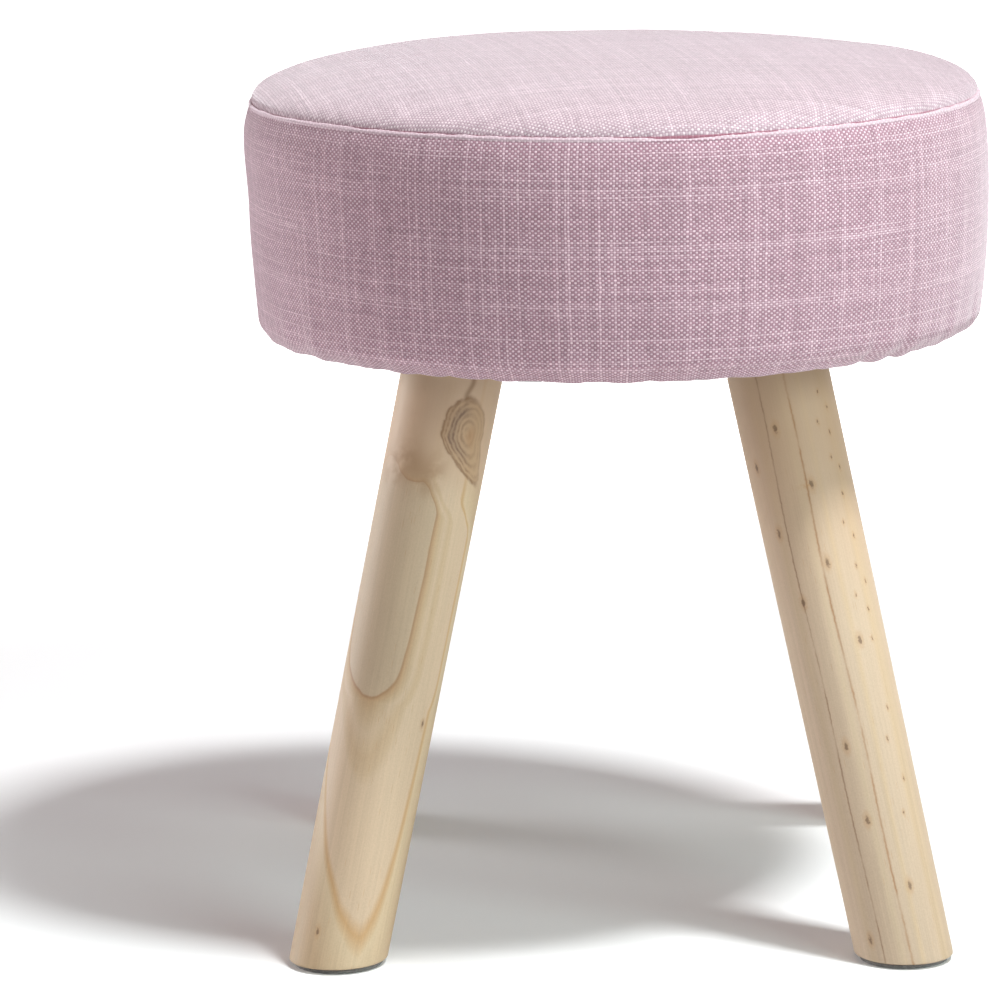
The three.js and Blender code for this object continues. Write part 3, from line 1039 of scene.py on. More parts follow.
def resin_dashes(start, turn, z):
    """Short dashes of resin, in columns round the leg and cells along it, most of them empty."""
    share = turn * ARC / DASH_COLUMN
    column = share.floor()
    cell = z / DASH_CELL + start.point(column, 3.0).chance() * 5.0
    filled = start.point(column, cell.floor()).chance().rise(0.9, 0.98)
    inside = abs(share - column - 0.5).rise(0.16, 0.05)
    length = abs(cell - cell.floor() - 0.5).rise(0.34, 0.1)
    return inside * length * filled


print("degrees in a radian:", round(DEGREES, 2))

# %% Pine finish
PALE_OVAL = photo_colour(188, 164, 138)
STRAW = photo_colour(190, 162, 130)
AMBER = photo_colour(176, 134, 90)
GOLD = photo_colour(190, 152, 108)
BROWN = photo_colour(164, 126, 92)
DARK_KNOT = photo_colour(92, 66, 50)
EARLY_WOOD = photo_colour(201, 175, 148)
PINKISH = photo_colour(193, 169, 145)


def pine(corner, figure, ring_stops, ring_span, marks):
    """The wood of one leg. figure gives the distance through the rings, marks adds its knots."""
    material, start, shader = new_finish("pine_" + corner)
    place = leg_place(start, corner)
    x, y, z = place.parts()
    turn = y.arctan2(x) * DEGREES
    sway = streaks(place, 0.09, 0.012) - 0.5
    share = figure(x, y, z, turn, sway) / ring_span
    colour = share.node("ShaderNodeValToRGB", {"stops": ring_stops}, {0: share})
    fibre = streaks(place, 1.7, 0.025, 3.0)
    coarse = streaks(place, 0.42, 0.008)
    grit = place.noise(1.5, 3.0) - 0.5
    paler_up = (z + 80) * 0.0008
    tone = 1.0 + paler_up + (fibre - 0.5) * 0.18 + (coarse - 0.5) * 0.14 + grit * 0.2
    dashes = resin_dashes(start, turn, z)
    colour = (dashes * 0.36).blend(colour.dimmed(tone), AMBER)
    colour, dark = marks(start, place, turn, z, colour)
    height = fibre * 0.6 + dashes * -0.5 - dark * 0.4
    set_sockets(
        shader,
        {
            "Base Color": colour,
            "Roughness": 0.5 + fibre * 0.14,
            "Specular IOR Level": 0.35,
            "Normal": relief(height, 0.12, 0.5),
        },
    )
    return material


print("amber in linear light:", [round(c, 3) for c in AMBER])

# %% Knots and lines
KNOT_STRETCH = 0.46  # under 1, so a knot is longer along the leg than across it


def pin_knots(start, place, turn, z, colour, spots, size=1.0):
    """Small ragged dark knots with an amber halo at (angle, height) places on a leg."""
    ragged = place.noise(0.9, 2.0) - 0.5
    here = start.point(turn * ARC + ragged * 1.7, z * KNOT_STRETCH - ragged * 1.3)
    distance = {"operation": "DISTANCE"}
    nearest = None
    for angle, height in spots:
        there = (angle * ARC, height * KNOT_STRETCH, 0.0)
        away = here.node("ShaderNodeVectorMath", distance, {0: here, 1: there}, 1)
        nearest = away if nearest is None else nearest.below(away)
    halo = nearest.rise(2.2 * size, 0.4 * size)
    heart = nearest.rise(0.9 * size, 0.3 * size)
    colour = (halo * 0.4).blend(colour, AMBER)
    return (heart * 0.7).blend(colour, DARK_KNOT), heart


def drawn_line(place, turn, z, colour, angle, width, tint, strength):
    """A fine wavy line along the leg, in places fainter. The width is in millimetres."""
    wave = (z * 0.055 + angle).sin() * 1.2 + (z * 0.021).sin() * 1.6
    away = (turn - angle - wave) * ARC + (place.noise(0.5, 3.0) - 0.5) * 0.9
    fade = streaks(place, 0.05, 0.06, 3.0).rise(0.34, 0.58)
    mask = away.bell(0.0, width) * (fade * 0.7 + 0.3)
    return (mask * strength).blend(colour, tint), mask


def few_knots(spots):
    """The marks of a leg that has only a few pin knots."""

    def marks(start, place, turn, z, colour):
        return pin_knots(start, place, turn, z, colour, spots)

    return marks


print("pine helpers are ready")

# %% [markdown]
# ### Front left leg
#
# This leg shows its flat side. A long pale oval lies in the middle, edged by an amber band on its
# right, and a second tongue hangs down to the foot. Above right sits a drop-shaped knot with dark
# rings and a brown vein that climbs to the top of the leg. The oval comes from a distance that
# grows slowly along the leg and fast round it. The knot is a smaller figure of the same kind.

# %% Front left figure
FLAT_STOPS = [
    (0.0, PALE_OVAL),
    (0.203, PALE_OVAL),
    (0.213, BROWN),
    (0.23, photo_colour(184, 151, 116)),
    (0.262, photo_colour(190, 162, 130)),
    (0.31, photo_colour(200, 174, 146)),
    (0.36, photo_colour(193, 165, 134)),
    (0.395, photo_colour(195, 168, 138)),
    (0.425, EARLY_WOOD),
    (0.69, EARLY_WOOD),
    (0.725, GOLD),
    (0.77, photo_colour(202, 178, 147)),
    (1.0, STRAW),
]


OVAL_START, OVAL_LENGTH = 88, 54  # where the oval starts to narrow, and how soon it ends
OVAL_MIDDLE = 9.0  # degrees round the leg
OVAL_TOP = -53.0, -40.0  # heights between which the oval begins
FLAT_SPAN = 36.0  # millimetres through the rings that the stops cover


def flat_figure(x, y, z, turn, sway):
    """The oval and the tongues below it."""
    down = (z * -1 - OVAL_START).above(0.0)
    middle = OVAL_MIDDLE + down * 0.15 + (down - 35).above(0.0) * 0.25
    round_off = (1 - ((turn - middle) * RADIANS).cos()) * 21.0
    jag = (turn * 0.11).sin() * 1.6 + sway * 9.0
    top_edge = (z + turn * 0.15 + jag).rise(*OVAL_TOP) * 9.0
    blunt = ((down / OVAL_LENGTH) ** 6).below(1.3) * 3.7 + (down - 56).above(0.0) * 0.107
    return round_off + down * 0.07 + blunt + top_edge + sway * 2.0


print("stops of the flat side:", len(FLAT_STOPS))

# %% Front left knot and vein
KNOT_WOOD = photo_colour(180, 147, 113)
KNOT_RING = photo_colour(138, 103, 74)
KNOT_GREY = photo_colour(112, 87, 75)
KNOT_EYE = photo_colour(172, 126, 84)
KNOT_RIM = photo_colour(136, 101, 72)
VEIN = photo_colour(134, 100, 70)
SMEAR = photo_colour(150, 116, 84)
UPPER_WOOD = photo_colour(198, 167, 140)
FLAT_KNOTS = [(14.4, -244.7), (96, -150), (150, -92), (-70, -60)]
KNOT_TURN, KNOT_DEPTH = 82, 24  # degrees round the leg, millimetres below its top
KNOT_HALF = 10.2  # half its width, in millimetres
VEIN_TURN, VEIN_HALF, VEIN_END = 70, 3.2, 12
SMEAR_DEPTH, SMEAR_HALF = 44.0, 9.0


def drop_knot(place, turn, z, colour):
    """A drop-shaped knot with rings round its eye, greyer on its left."""
    up = z + KNOT_DEPTH
    lower = (up * -1 - 4).above(0.0)
    right = (turn - KNOT_TURN) * 0.375 + 3.0 - lower**1.4 * 0.2
    half_height = up.rise(-7.0, 7.0) * -9.0 + 22.5
    knot = ((right / KNOT_HALF) ** 2 + (up / half_height) ** 2) ** 0.5
    wavy = knot + (place.noise(0.13, 4.0) - 0.5) * 0.36
    eye = ((right - 3.0) ** 2 + (up * 0.5 + 1.4) ** 2) ** 0.5
    rough = place.noise(0.35, 3.0)
    rings = (wavy * 17 + eye * 2.0 + place.noise(0.3, 3.0) * 4.5).sin() * 0.5 + 0.5
    rings = rings * rough.rise(0.2, 0.65) * (right.rise(6.0, -4.0) * 0.65 + 0.35)
    inside = wavy.rise(1.02, 0.9)
    colour = (inside * 0.8).blend(colour, rings.blend(KNOT_WOOD, KNOT_RING))
    grey = wavy.bell(0.56, 0.17) * right.rise(3.5, -3.0) * up.rise(-18.0, -5.0)
    grey = grey * (0.5 + rings * 0.5) * (rough * 0.6 + 0.55)
    colour = (grey * 0.85).below(0.75).blend(colour, KNOT_GREY)
    colour = (eye.rise(3.4, 0.6) * 0.4).blend(colour, KNOT_EYE)
    rim = wavy.bell(0.97, 0.055) * (right.rise(4.0, -2.0) * 0.5 + 0.5)
    rim = rim * (rough.rise(0.2, 0.6) * 0.5 + 0.5)
    return (rim * 0.8).blend(colour, KNOT_RIM), grey + rim


def flat_marks(start, place, turn, z, colour):
    """Darker wood at the top, a smear above the oval, the knot, its vein and pin knots."""
    colour = (z.rise(-56.0, -38.0) * 0.8).blend(colour, UPPER_WOOD)
    smear = (z - 2.0 * (turn * 0.11).sin()).bell(-SMEAR_DEPTH, SMEAR_HALF)
    smear = smear * turn.rise(72.0, 40.0) * turn.rise(-40.0, 0.0)
    smear = smear * place.noise(0.12, 3.0).rise(0.25, 0.6)
    colour = (smear * 0.65).blend(colour, SMEAR)
    colour, knot = drop_knot(place, turn, z, colour)
    vein = (turn - VEIN_TURN + (z * 0.45).sin() * 2.5).bell(0.0, VEIN_HALF)
    vein = vein * (z + VEIN_END).rise(-2.0, 2.0)
    colour = (vein * 0.65).blend(colour, VEIN)
    colour, spots = pin_knots(start, place, turn, z, colour, FLAT_KNOTS)
    return colour, knot + spots


pine_front_left = pine("front_left", flat_figure, FLAT_STOPS, FLAT_SPAN, flat_marks)
print("front left pine nodes:", len(pine_front_left.node_tree.nodes))

# %% [markdown]
# ### Front right leg
#
# Here the surface cuts across the rings, so two fine dark lines run the whole length of the leg
# with fainter ones beside them, and many pin knots lie along them. The lines are drawn one by one,
# because a ramp would make them all alike.

# %% Front right figure
LINE_STOPS = [
    (0.0, PINKISH),
    (0.12, PINKISH),
    (0.18, photo_colour(194, 170, 142)),
    (0.24, PINKISH),
    (0.41, PINKISH),
    (0.47, photo_colour(196, 173, 146)),
    (0.52, PINKISH),
    (0.62, PINKISH),
    (0.67, photo_colour(194, 168, 138)),
    (0.71, PINKISH),
    (0.84, PINKISH),
    (0.88, photo_colour(194, 168, 138)),
    (1.0, PINKISH),
]


LINE_SPAN = 42.0
SLANT = math.radians(45)


def line_figure(x, y, z, turn, sway):
    """Straight rings that cross the leg at a slant of 45 degrees."""
    bumps = (z * 0.055).sin() * 0.16 + (z * 0.021).sin() * 0.2
    across = x * math.cos(SLANT) + y * math.sin(SLANT)
    return across + 21.0 + bumps + sway * 1.1


print("stops of the lined side:", len(LINE_STOPS))

# %% Front right lines and knots
FIRST_LINE = -72.8, 0.32, photo_colour(128, 92, 64), 0.75  # angle, width, tint, strength
SECOND_LINE = -40.3, 0.42, photo_colour(150, 106, 66), 0.8
CROSS_TURN, CROSS_DEPTH = -40.0, 52.4
BROWNER_WOOD_AND_SEAT_SHADE = photo_colour(177, 145, 116)
LINE_KNOTS = [
    (-62.3, -26.1), (-99.5, -40.6), (-35.3, -52.2), (-86.8, -69.9), (-74.4, -100.5),
    (-36.7, -86.0), (-18.0, -120.8), (-60.9, -163.6), (-54.8, -195.7), (-21.9, -226.5),
    (-83.9, -245.7),
]
LINE_SPECKS = [
    (-3.2, -14.4), (6.4, -21.4), (-12.2, -26.9), (2.4, -32.1), (-3.6, -42.6), (6.8, -47.7),
    (2.2, -59.1), (-6.2, -70.8), (5.6, -77.1), (-1.1, -89.8), (9.2, -96.9), (-10.8, -101.8),
    (3.8, -108.8), (-0.6, -121.1), (0.2, -151.2), (-9.8, -164.0), (2.1, -181.8), (-9.1, -195.8),
]


def line_marks(start, place, turn, z, colour):
    """Painted shade of the seat and browner wood at the top, a short cross mark, the two lines and
    the pin knots.
    """
    # The upper leg is darkened: browner wood and painted shade of the seat above it.
    colour = (z.rise(-125.0, -15.0) * 0.75).blend(colour, BROWNER_WOOD_AND_SEAT_SHADE)
    cross = (z + CROSS_DEPTH).bell(0.0, 1.0) * (turn - CROSS_TURN).bell(0.0, 9.0)
    cross = cross * place.noise(0.8, 2.0).rise(0.35, 0.6)
    colour = (cross * 0.55).blend(colour, AMBER)
    colour, first = drawn_line(place, turn, z, colour, *FIRST_LINE)
    colour, second = drawn_line(place, turn, z, colour, *SECOND_LINE)
    colour, specks = pin_knots(start, place, turn, z, colour, LINE_SPECKS, 0.6)
    colour, knots = pin_knots(start, place, turn, z, colour, LINE_KNOTS, 1.25)
    return colour, first + second + specks + knots


pine_front_right = pine("front_right", line_figure, LINE_STOPS, LINE_SPAN, line_marks)
print("front right pine nodes:", len(pine_front_right.node_tree.nodes))

# %% [markdown]
# ### Back legs
#
# The back legs are barely seen in the photograph. They come from the same kind of board, so one
# gets a flat side with a long tongue that faces outward, and the other gets straight lines.


# %% Back pine
def tongue_figure(x, y, z, turn, sway):
    """A long tongue that hangs down the leg."""
    lean = (z * -1 - 40).above(0.0)
    apart = (turn + 20 + lean * 0.08) * RADIANS
    return (1 - apart.cos()) * 20.0 + lean * 0.11 + sway * 3.0


def slant_figure(x, y, z, turn, sway):
    """Straight rings that cross the leg at a slant."""
    return x * 0.34 + y * 0.94 + 21.5 + z * 0.012 + sway * 1.6


tongue_knots = few_knots([(-12, -70), (40, -140), (110, -205)])
slant_knots = few_knots([(20, -45), (-60, -120), (75, -190)])
pine_back_left = pine("back_left", tongue_figure, FLAT_STOPS, 38.0, tongue_knots)
pine_back_right = pine("back_right", slant_figure, LINE_STOPS, 44.0, slant_knots)
print("back pine nodes:", len(pine_back_left.node_tree.nodes))

# %% [markdown]
# ## Turned legs
#
# A leg is a long taper with slightly rounded edges. Its top is square to its axis and bored for the
# bolt. Its foot is sawn level with the floor, so the lower rings are slid along the axis until they
# lie flat. The CAD leg has 24 sides and this one has 96.


# %% Leg mesh
EASING = 0.8  # rounding of the edges
BORE_RADIUS, BORE_DEPTH = 4.3, 30.3
LEG_AROUND = 96


def leg_rings():
    """Rings of a leg in its own frame, from the middle of its foot to the bottom of its bore."""
    foot = -LEG_LENGTH
    taper = (LEG_TOP_RADIUS - LEG_FOOT_RADIUS) / LEG_LENGTH
    bore = [(BORE_RADIUS, -3), (BORE_RADIUS, -BORE_DEPTH)]
    outline = (
        [(0.6, foot)]
        + line((7, foot), (LEG_FOOT_RADIUS - EASING, foot), 3)
        + arc((LEG_FOOT_RADIUS - EASING, foot + EASING), EASING, -72, 0, 5)
        + [(LEG_TOP_RADIUS + taper * z, z) for z in np.linspace(foot + 2, -2, 52)]
        + arc((LEG_TOP_RADIUS - EASING, -EASING), EASING, 0, 90, 6)
        + line((15, 0), (5.2, 0), 3)
        + arc((4.9, -0.6), 0.6, 90, 180, 4)
        + bore
    )
    rings = turned_rings(outline, LEG_AROUND)
    outside = (np.arange(len(outline)) < len(outline) - len(bore))[:, None]
    share = np.clip(rings[:, :, 2] / foot, 0, 1) * outside
    rings[:, :, 2] -= rings[:, :, 0] * math.tan(SPLAY) * share
    return rings


def placed(rings, matrix):
    """Rings in millimetres moved by a matrix in metres."""
    flat = rings.reshape(-1, 3) * MM
    rotation = np.array(matrix.to_3x3())
    return ((flat @ rotation.T + np.array(matrix.translation)) / MM).reshape(rings.shape)


LEG_FINISHES = {
    "back_right": pine_back_right,
    "back_left": pine_back_left,
    "front_left": pine_front_left,
    "front_right": pine_front_right,
}
for corner, finish in LEG_FINISHES.items():
    rings = placed(leg_rings(), leg_frame(corner))
    leg_piece = add_rings("turned_leg_" + corner, rings, finish, ["leg_" + corner])
print("leg points:", len(leg_piece.data.vertices))

# %% [markdown]
# ## Zinc-plated steel
#
# The plates, bolts, screws and staples are zinc-plated steel: grey, soft in shine, with a faint
# cloudy pattern and fine scratches that change the roughness more than the colour.


# %% Steel finish
def zinc_steel(name, level):
    """Zinc-plated steel at a given brightness."""
    material, start, shader = new_finish(name)
    place = place_mm(start)
    clouds = place.noise(0.35, 3.0)
    specks = place.noise(4.0, 2.0)
    colour = clouds.rise(0.3, 0.7).blend(photo_colour(176, 178, 180), photo_colour(204, 205, 203))
    set_sockets(
        shader,
        {
            "Base Color": colour.dimmed(level),
            "Metallic": 1.0,
            "Roughness": 0.3 + clouds * 0.16 + specks * 0.06,
            "Normal": relief(specks, 0.02, 0.4),
        },
    )
    return material


plate_steel = zinc_steel("zinc_plate", 0.95)
fastener_steel = zinc_steel("zinc_fastener", 1.0)
print("steel nodes:", len(plate_steel.node_tree.nodes))


# %% [markdown]
# The CAD plates and staples already have the right shape. A small bevel rounds their sharp edges,
# which is what makes steel catch the light. A bevel limited by angle leaves the flat faces alone.


# %% Plates and staples
STAPLES = 12


def dress_node(name, material, edge):
    """Give a CAD node its finish, and round its edges by a few tenths of a millimetre."""
    node = bpy.data.objects[name]
    node.data.materials.clear()
    node.data.materials.append(material)
    bevel = node.modifiers.new("rounded edges", "BEVEL")
    bevel.width = edge * MM
    bevel.segments = 2
    bevel.limit_method = "ANGLE"
    bevel.angle_limit = math.radians(35)


for corner in CORNERS:
    dress_node("leg_plate_" + corner, plate_steel, 0.3)
for index in range(STAPLES):
    dress_node(f"staple_{index + 1}", fastener_steel, 0.12)
print("plates:", len(CORNERS), "staples:", STAPLES)

# %% [markdown]
# ## Screws and bolts
#
# A screw head with a cross recess and a real thread needs its own mesh. The head is a round grid
# whose height dips where the cross is cut. A thread is a rod whose radius follows a saw wave, and
# the wave climbs as it goes round, which makes the helix.


# %% Thread helper
def threaded_rings(radius, depth, pitch, bottom, top, around, taper=0.0):
    """Rings of a threaded rod. The last stretch narrows to a point when taper is given."""
    rows = int((top - bottom) / pitch * 6) + 1
    height = np.linspace(bottom, top, rows)[:, None]
    turn = np.arange(around) * 2 * np.pi / around
    wave = np.abs(((height / pitch - turn / (2 * np.pi)) % 1) * 2 - 1)
    size = radius - depth * wave
    if taper:
        size = size * np.clip((top - height) / taper, 0.04, 1)
    return np.stack([size * np.cos(turn), size * np.sin(turn), height + 0 * turn], 2)


print("thread rows:", threaded_rings(1.9, 0.5, 1.6, 0, 14, 16, 4).shape)

# %% Wood screw
SCREW_AROUND = 48
HEAD_HEIGHT = 2.2
RECESS_DEPTH = 1.25
ARM_HALF, ARM_LENGTH = 0.42, 1.9
SHANK_RADIUS, SHANK_LENGTH, SCREW_POINT = 1.9, 14.0, 4.0


def recess_arm(across, along):
    """1 in one arm of the cross recess, with soft walls."""
    return 1 / (1 + np.exp((across - ARM_HALF) * 14)) / (1 + np.exp((along - ARM_LENGTH) * 9))


def screw_rings():
    """A pan head with a cross recess, facing down, and a shank that goes up."""
    turn = np.arange(SCREW_AROUND) * 2 * np.pi / SCREW_AROUND
    reach = np.concatenate([np.linspace(0.15, 2.6, 13), [3.0, 3.3, 3.5, 3.6, 3.6]])[:, None]
    dome = np.sqrt(np.clip(1 - (reach / 3.75) ** 2.6, 0, 1)) * HEAD_HEIGHT
    across, along = np.abs(reach * np.cos(turn)), np.abs(reach * np.sin(turn))
    cross = np.maximum(recess_arm(across, along), recess_arm(along, across))
    height = -(dome - RECESS_DEPTH * cross)
    height[-1] = 0
    head = np.stack([reach * np.cos(turn), reach * np.sin(turn), height], 2)
    thread = SHANK_RADIUS, 0.45, 1.6, 0.0, SHANK_LENGTH
    shank = threaded_rings(*thread, SCREW_AROUND, SCREW_POINT)
    return np.concatenate([head, shank], 0)


print("screw rings:", screw_rings().shape)

# %% Screws of the plates
SEATING = 252.6  # height of the screw heads' undersides
PLATE_RADIUS = 97.562
SCREW_OFFSET = 18.5
PLACES = [(1, 1), (1, -1), (-1, 1), (-1, -1)]

for corner, degrees in CORNERS.items():
    for index, (out, aside) in enumerate(PLACES):
        spot = Vector((PLATE_RADIUS + out * SCREW_OFFSET, aside * SCREW_OFFSET, SEATING)) * MM
        spin = Matrix.Rotation(math.radians(37 * index + degrees), 4, "Z")
        frame_here = corner_turn(corner) @ Matrix.Translation(spot) @ spin
        end = f"{corner}_{index + 1}"
        rings = placed(screw_rings(), frame_here)
        add_rings("wood_screw_" + end, rings, fastener_steel, ["plate_screw_" + end])
print("screws:", len(CORNERS) * len(PLACES))

# %% Hanger bolts of the legs
BOLT_AROUND = 24
BOLT_RADIUS = 3.95

wood_end = threaded_rings(3.6, 0.7, 2.6, 6.0, 30.0, BOLT_AROUND, 6.0)
wood_end[:, :, 2] *= -1
collar = turned_rings([(3.7, -5.5), (3.9, -2.0), (BOLT_RADIUS, 1.0)], BOLT_AROUND)
machine_end = threaded_rings(BOLT_RADIUS, 0.45, 1.25, 1.4, 15.2, BOLT_AROUND)
tip = turned_rings([(3.4, 15.6), (2.9, 16.0)], BOLT_AROUND)
bolt = np.concatenate([wood_end[::-1], collar, machine_end, tip], 0)
for corner in CORNERS:
    rings = placed(bolt, leg_frame(corner))
    stands_for = ["hanger_bolt_" + corner]
    add_rings("threaded_bolt_" + corner, rings, fastener_steel, stands_for)
print("bolts:", len(CORNERS), "rings each:", len(bolt))

# %% [markdown]
# ## Felt pads
#
# Grey pressed felt is glued under each foot. It shows as a thin dark line at the floor. Felt has no
# weave: it is a mat of fibres, so its finish is noise at two scales, and the edge of the disc is a
# little ragged.

# %% Felt finish
felt, start, shader = new_finish("pressed_felt")
place = place_mm(start)
hairs = place.noise(3.2, 4.0)
patches = place.noise(0.5, 2.0)
felt_share = (hairs * 0.7 + patches * 0.3).rise(0.3, 0.7)
set_sockets(
    shader,
    {
        "Base Color": felt_share.blend(photo_colour(82, 79, 77), photo_colour(128, 124, 121)),
        "Roughness": 0.96,
        "Sheen Weight": 0.25,
        "Sheen Roughness": 0.6,
        "Normal": relief(hairs, 0.35),
    },
)
print("felt nodes:", len(felt.node_tree.nodes))

# %% Felt pads
FELT_AROUND = 96
FOOT_SPREAD = LEG_SPREAD + (LEG_TOP - 2.3) * math.tan(SPLAY)
pad_edge = [(18.8, 0.25), (19.0, 0.7), (19.0, 1.3), (18.8, 1.75)]
pad_outline = line((1, 0), (18.2, 0), 5) + pad_edge + line((18.2, 2), (1, 2), 5)
pad_turn = np.arange(FELT_AROUND) * 2 * np.pi / FELT_AROUND
for number, corner in enumerate(CORNERS):
    rings = turned_rings(pad_outline, FELT_AROUND)
    ragged = 1 - 0.006 * (1 + wander(pad_turn, 8, 44, 50 + number))
    rings[:, :, :2] *= ragged[:, None]
    foot = corner_turn(corner) @ Matrix.Translation((FOOT_SPREAD * MM, 0, 0))
    add_rings("felt_pad_" + corner, placed(rings, foot), felt, ["foot_pad_" + corner])
print("pads at", round(FOOT_SPREAD, 2), "mm from the middle")

# %% [markdown]
# ## Inside the seat
#
# The board is plywood: thin layers whose grain runs across in turn, which shows on its edge as
# light and dark stripes. The foam block and the wadding are hidden by the cover, but a library part
# can be opened, so they have real shapes and finishes too.

# %% Plywood
LAYER = 1.67
LOWEST_LAYER = 256.1
plywood, start, shader = new_finish("plywood")
place = place_mm(start)
x, y, z = place.parts()
layer = ((z - LOWEST_LAYER) / LAYER).floor()
odd = layer.math("FLOORED_MODULO", layer, 2.0)
long_grain = place.point(x * 0.02, y * 0.5, z).noise(1.0, 4.0)
cross_grain = place.point(x * 0.5, y * 0.02, z).noise(1.0, 4.0)
grain = long_grain + odd * (cross_grain - long_grain)
board_colour = grain.rise(0.3, 0.7).blend(photo_colour(186, 146, 98), photo_colour(222, 189, 142))
set_sockets(
    shader,
    {
        "Base Color": board_colour.dimmed(1.0 - odd * 0.22),
        "Roughness": 0.62 + grain * 0.15,
        "Normal": relief(grain, 0.15),
    },
)
dress_node("seat_board", plywood, 0.3)
print("plywood nodes:", len(plywood.node_tree.nodes))

# %% Foam finish
foam_finish, start, shader = new_finish("open_foam")
place = place_mm(start)
cells = start.node("ShaderNodeTexVoronoi", None, {"Vector": place, "Scale": 1.4})
blotch = place.noise(0.05, 2.0)
foam_share = (cells * 0.8 + blotch * 0.4).rise(0.1, 0.9)
set_sockets(
    shader,
    {
        "Base Color": foam_share.blend(photo_colour(206, 188, 128), photo_colour(236, 224, 178)),
        "Roughness": 0.95,
        "Normal": relief(cells, 0.4),
    },
)
print("foam nodes:", len(foam_finish.node_tree.nodes))

# %% Wadding finish
wadding_finish, start, shader = new_finish("soft_wadding")
tufts = place_mm(start).noise(0.3, 5.0)
tuft_share = tufts.rise(0.3, 0.7)
set_sockets(
    shader,
    {
        "Base Color": tuft_share.blend(photo_colour(214, 212, 206), photo_colour(246, 244, 238)),
        "Roughness": 1.0,
        "Sheen Weight": 0.3,
        "Normal": relief(tufts, 1.2),
    },
)
print("wadding nodes:", len(wadding_finish.node_tree.nodes))

# %% [markdown]
# The wadding is a soft cap between the top panel and the foam, thick in the middle and thin at the
# rim. The foam fills the seat: its crown lies under the wadding, its side follows the band, and its
# rim folds down round the board. Both are turned from an outline and settle with the cover, and the
# wadding has soft lumps of its own.

# %% Wadding cap
SKIN = 1.1  # room for the cover and a gap
PADDING_AROUND = 120
WADDING_RADIUS = 154.4
WADDING_RISE = DOME_TOP - SEAM_HEIGHT - SKIN
CROWN_STEPS = np.linspace(0, np.pi / 2, 25)[:-1]


def crown(radius, rise):
    """Points of a flattened dome on the seam's height, from its rim to near its middle."""
    return dome_points(CROWN_STEPS, radius, SEAM_HEIGHT, rise)


def lumpy(rings, amount, seed):
    """Soft lumps in a padding, in millimetres."""
    turn, reach, _ = polar(rings)
    lumps = wander(turn, 3, 14, seed) * np.sin(reach / 19 + seed) * bump_at(reach - 80, 60)
    rings[:, :, 2] -= amount * (lumps + 1) * (reach < 150)
    return rings


over = crown(WADDING_RADIUS, WADDING_RISE)[::-1]
below = crown(WADDING_RADIUS - 2, WADDING_RISE - 8)
wadding_rings = settled(lumpy(turned_rings(over + below, PADDING_AROUND), 0.25, 3))
wadding_piece = add_rings("wadding_cap", wadding_rings, wadding_finish, ["wadding"])
print("wadding points:", len(wadding_piece.data.vertices))

# %% Foam block
FOAM_FLOOR = 271.4  # just over the board
RIM_INNER = 150.5
RIM_BEND = BOTTOM_ROUND - SKIN - 0.2
waist_radius = SEAM_RADIUS + SIDE_BULGE - SIDE_DRAW_IN * 0.5 - SKIN - 0.3
waist_height = SEAM_HEIGHT + (SIDE_BASE - SEAM_HEIGHT) * 0.5
foam_outline = (
    line((4, FOAM_FLOOR), (RIM_INNER, FOAM_FLOOR), 8)
    + line((RIM_INNER, 268), (RIM_INNER, 258.6), 3)
    + arc((RIM_INNER, SIDE_BASE), RIM_BEND, -45, 0, 5)
    + line((157.7, 268), (waist_radius - 0.6, waist_height), 8)
    + line((waist_radius - 1.2, 320), (155.4, 346), 5)
    + crown(152.2, 9.8)
)
foam_rings = settled(turned_rings(foam_outline, PADDING_AROUND))
foam_piece = add_rings("foam_block", foam_rings, foam_finish, ["foam_pad"])
print("foam points:", len(foam_piece.data.vertices))

# %% [markdown]
# ## Dust cover
#
# A thin black cloth hides the raw edge of the hem under the board. It is pressed from fibres and
# bonded in a fine pattern of points. The staples hold it tight at the rim, and it sags a little in
# faint ripples inside them.

# %% Dust cloth finish
POINTS_APART = 3.6
dust_finish, start, shader = new_finish("black_dust_cloth")
place = place_mm(start)
x, y, _ = place.parts()
bonds = ((x * POINTS_APART).sin() * (y * POINTS_APART).sin()).rise(0.2, 0.8)
fibres = place.noise(2.2, 4.0)
dust_share = bonds * 0.5 + fibres * 0.5
set_sockets(
    shader,
    {
        "Base Color": dust_share.blend(photo_colour(20, 20, 22), photo_colour(44, 44, 47)),
        "Roughness": 0.88,
        "Sheen Weight": 0.15,
        "Normal": relief(fibres * 0.6 - bonds * 0.7, 0.12),
    },
)
print("dust cloth nodes:", len(dust_finish.node_tree.nodes))

# %% Dust cover mesh
DUST_RADIUS = 139.2
DUST_BOTTOM = 255.2  # its underside against the board
DUST_RIM = 253.3  # and against the hem
DUST_THICKNESS = 0.5
DUST_AROUND = 240

dust_turn = np.arange(DUST_AROUND) * 2 * np.pi / DUST_AROUND
rim_steps = [137.4, 138.5, DUST_RADIUS]
dust_reach = [np.linspace(3, 125, 32), np.linspace(126.5, 136, 9), rim_steps]
dust_reach = np.concatenate(dust_reach)[:, None]
step_down = climb(dust_reach, 128.9, 4.0)
step_down = step_down**2 * (3 - 2 * step_down)
underside = DUST_BOTTOM + (DUST_RIM - DUST_BOTTOM) * step_down
ripple = 0.10 * (1 + wander(dust_turn, 9, 40, 61)) * bump_at(dust_reach - 122, 16)
slack = 0.12 * (1 + wander(dust_turn, 2, 9, 62)) * bump_at(dust_reach - 30, 34)
ragged = 1 - 0.003 * (1 + wander(dust_turn, 10, 60, 63)) * (dust_reach > 138)


def dust_side(height):
    """One face of the dust cover, as rings from its middle to its rim."""
    radius = dust_reach * ragged
    return np.stack([radius * np.cos(dust_turn), radius * np.sin(dust_turn), height], 2)


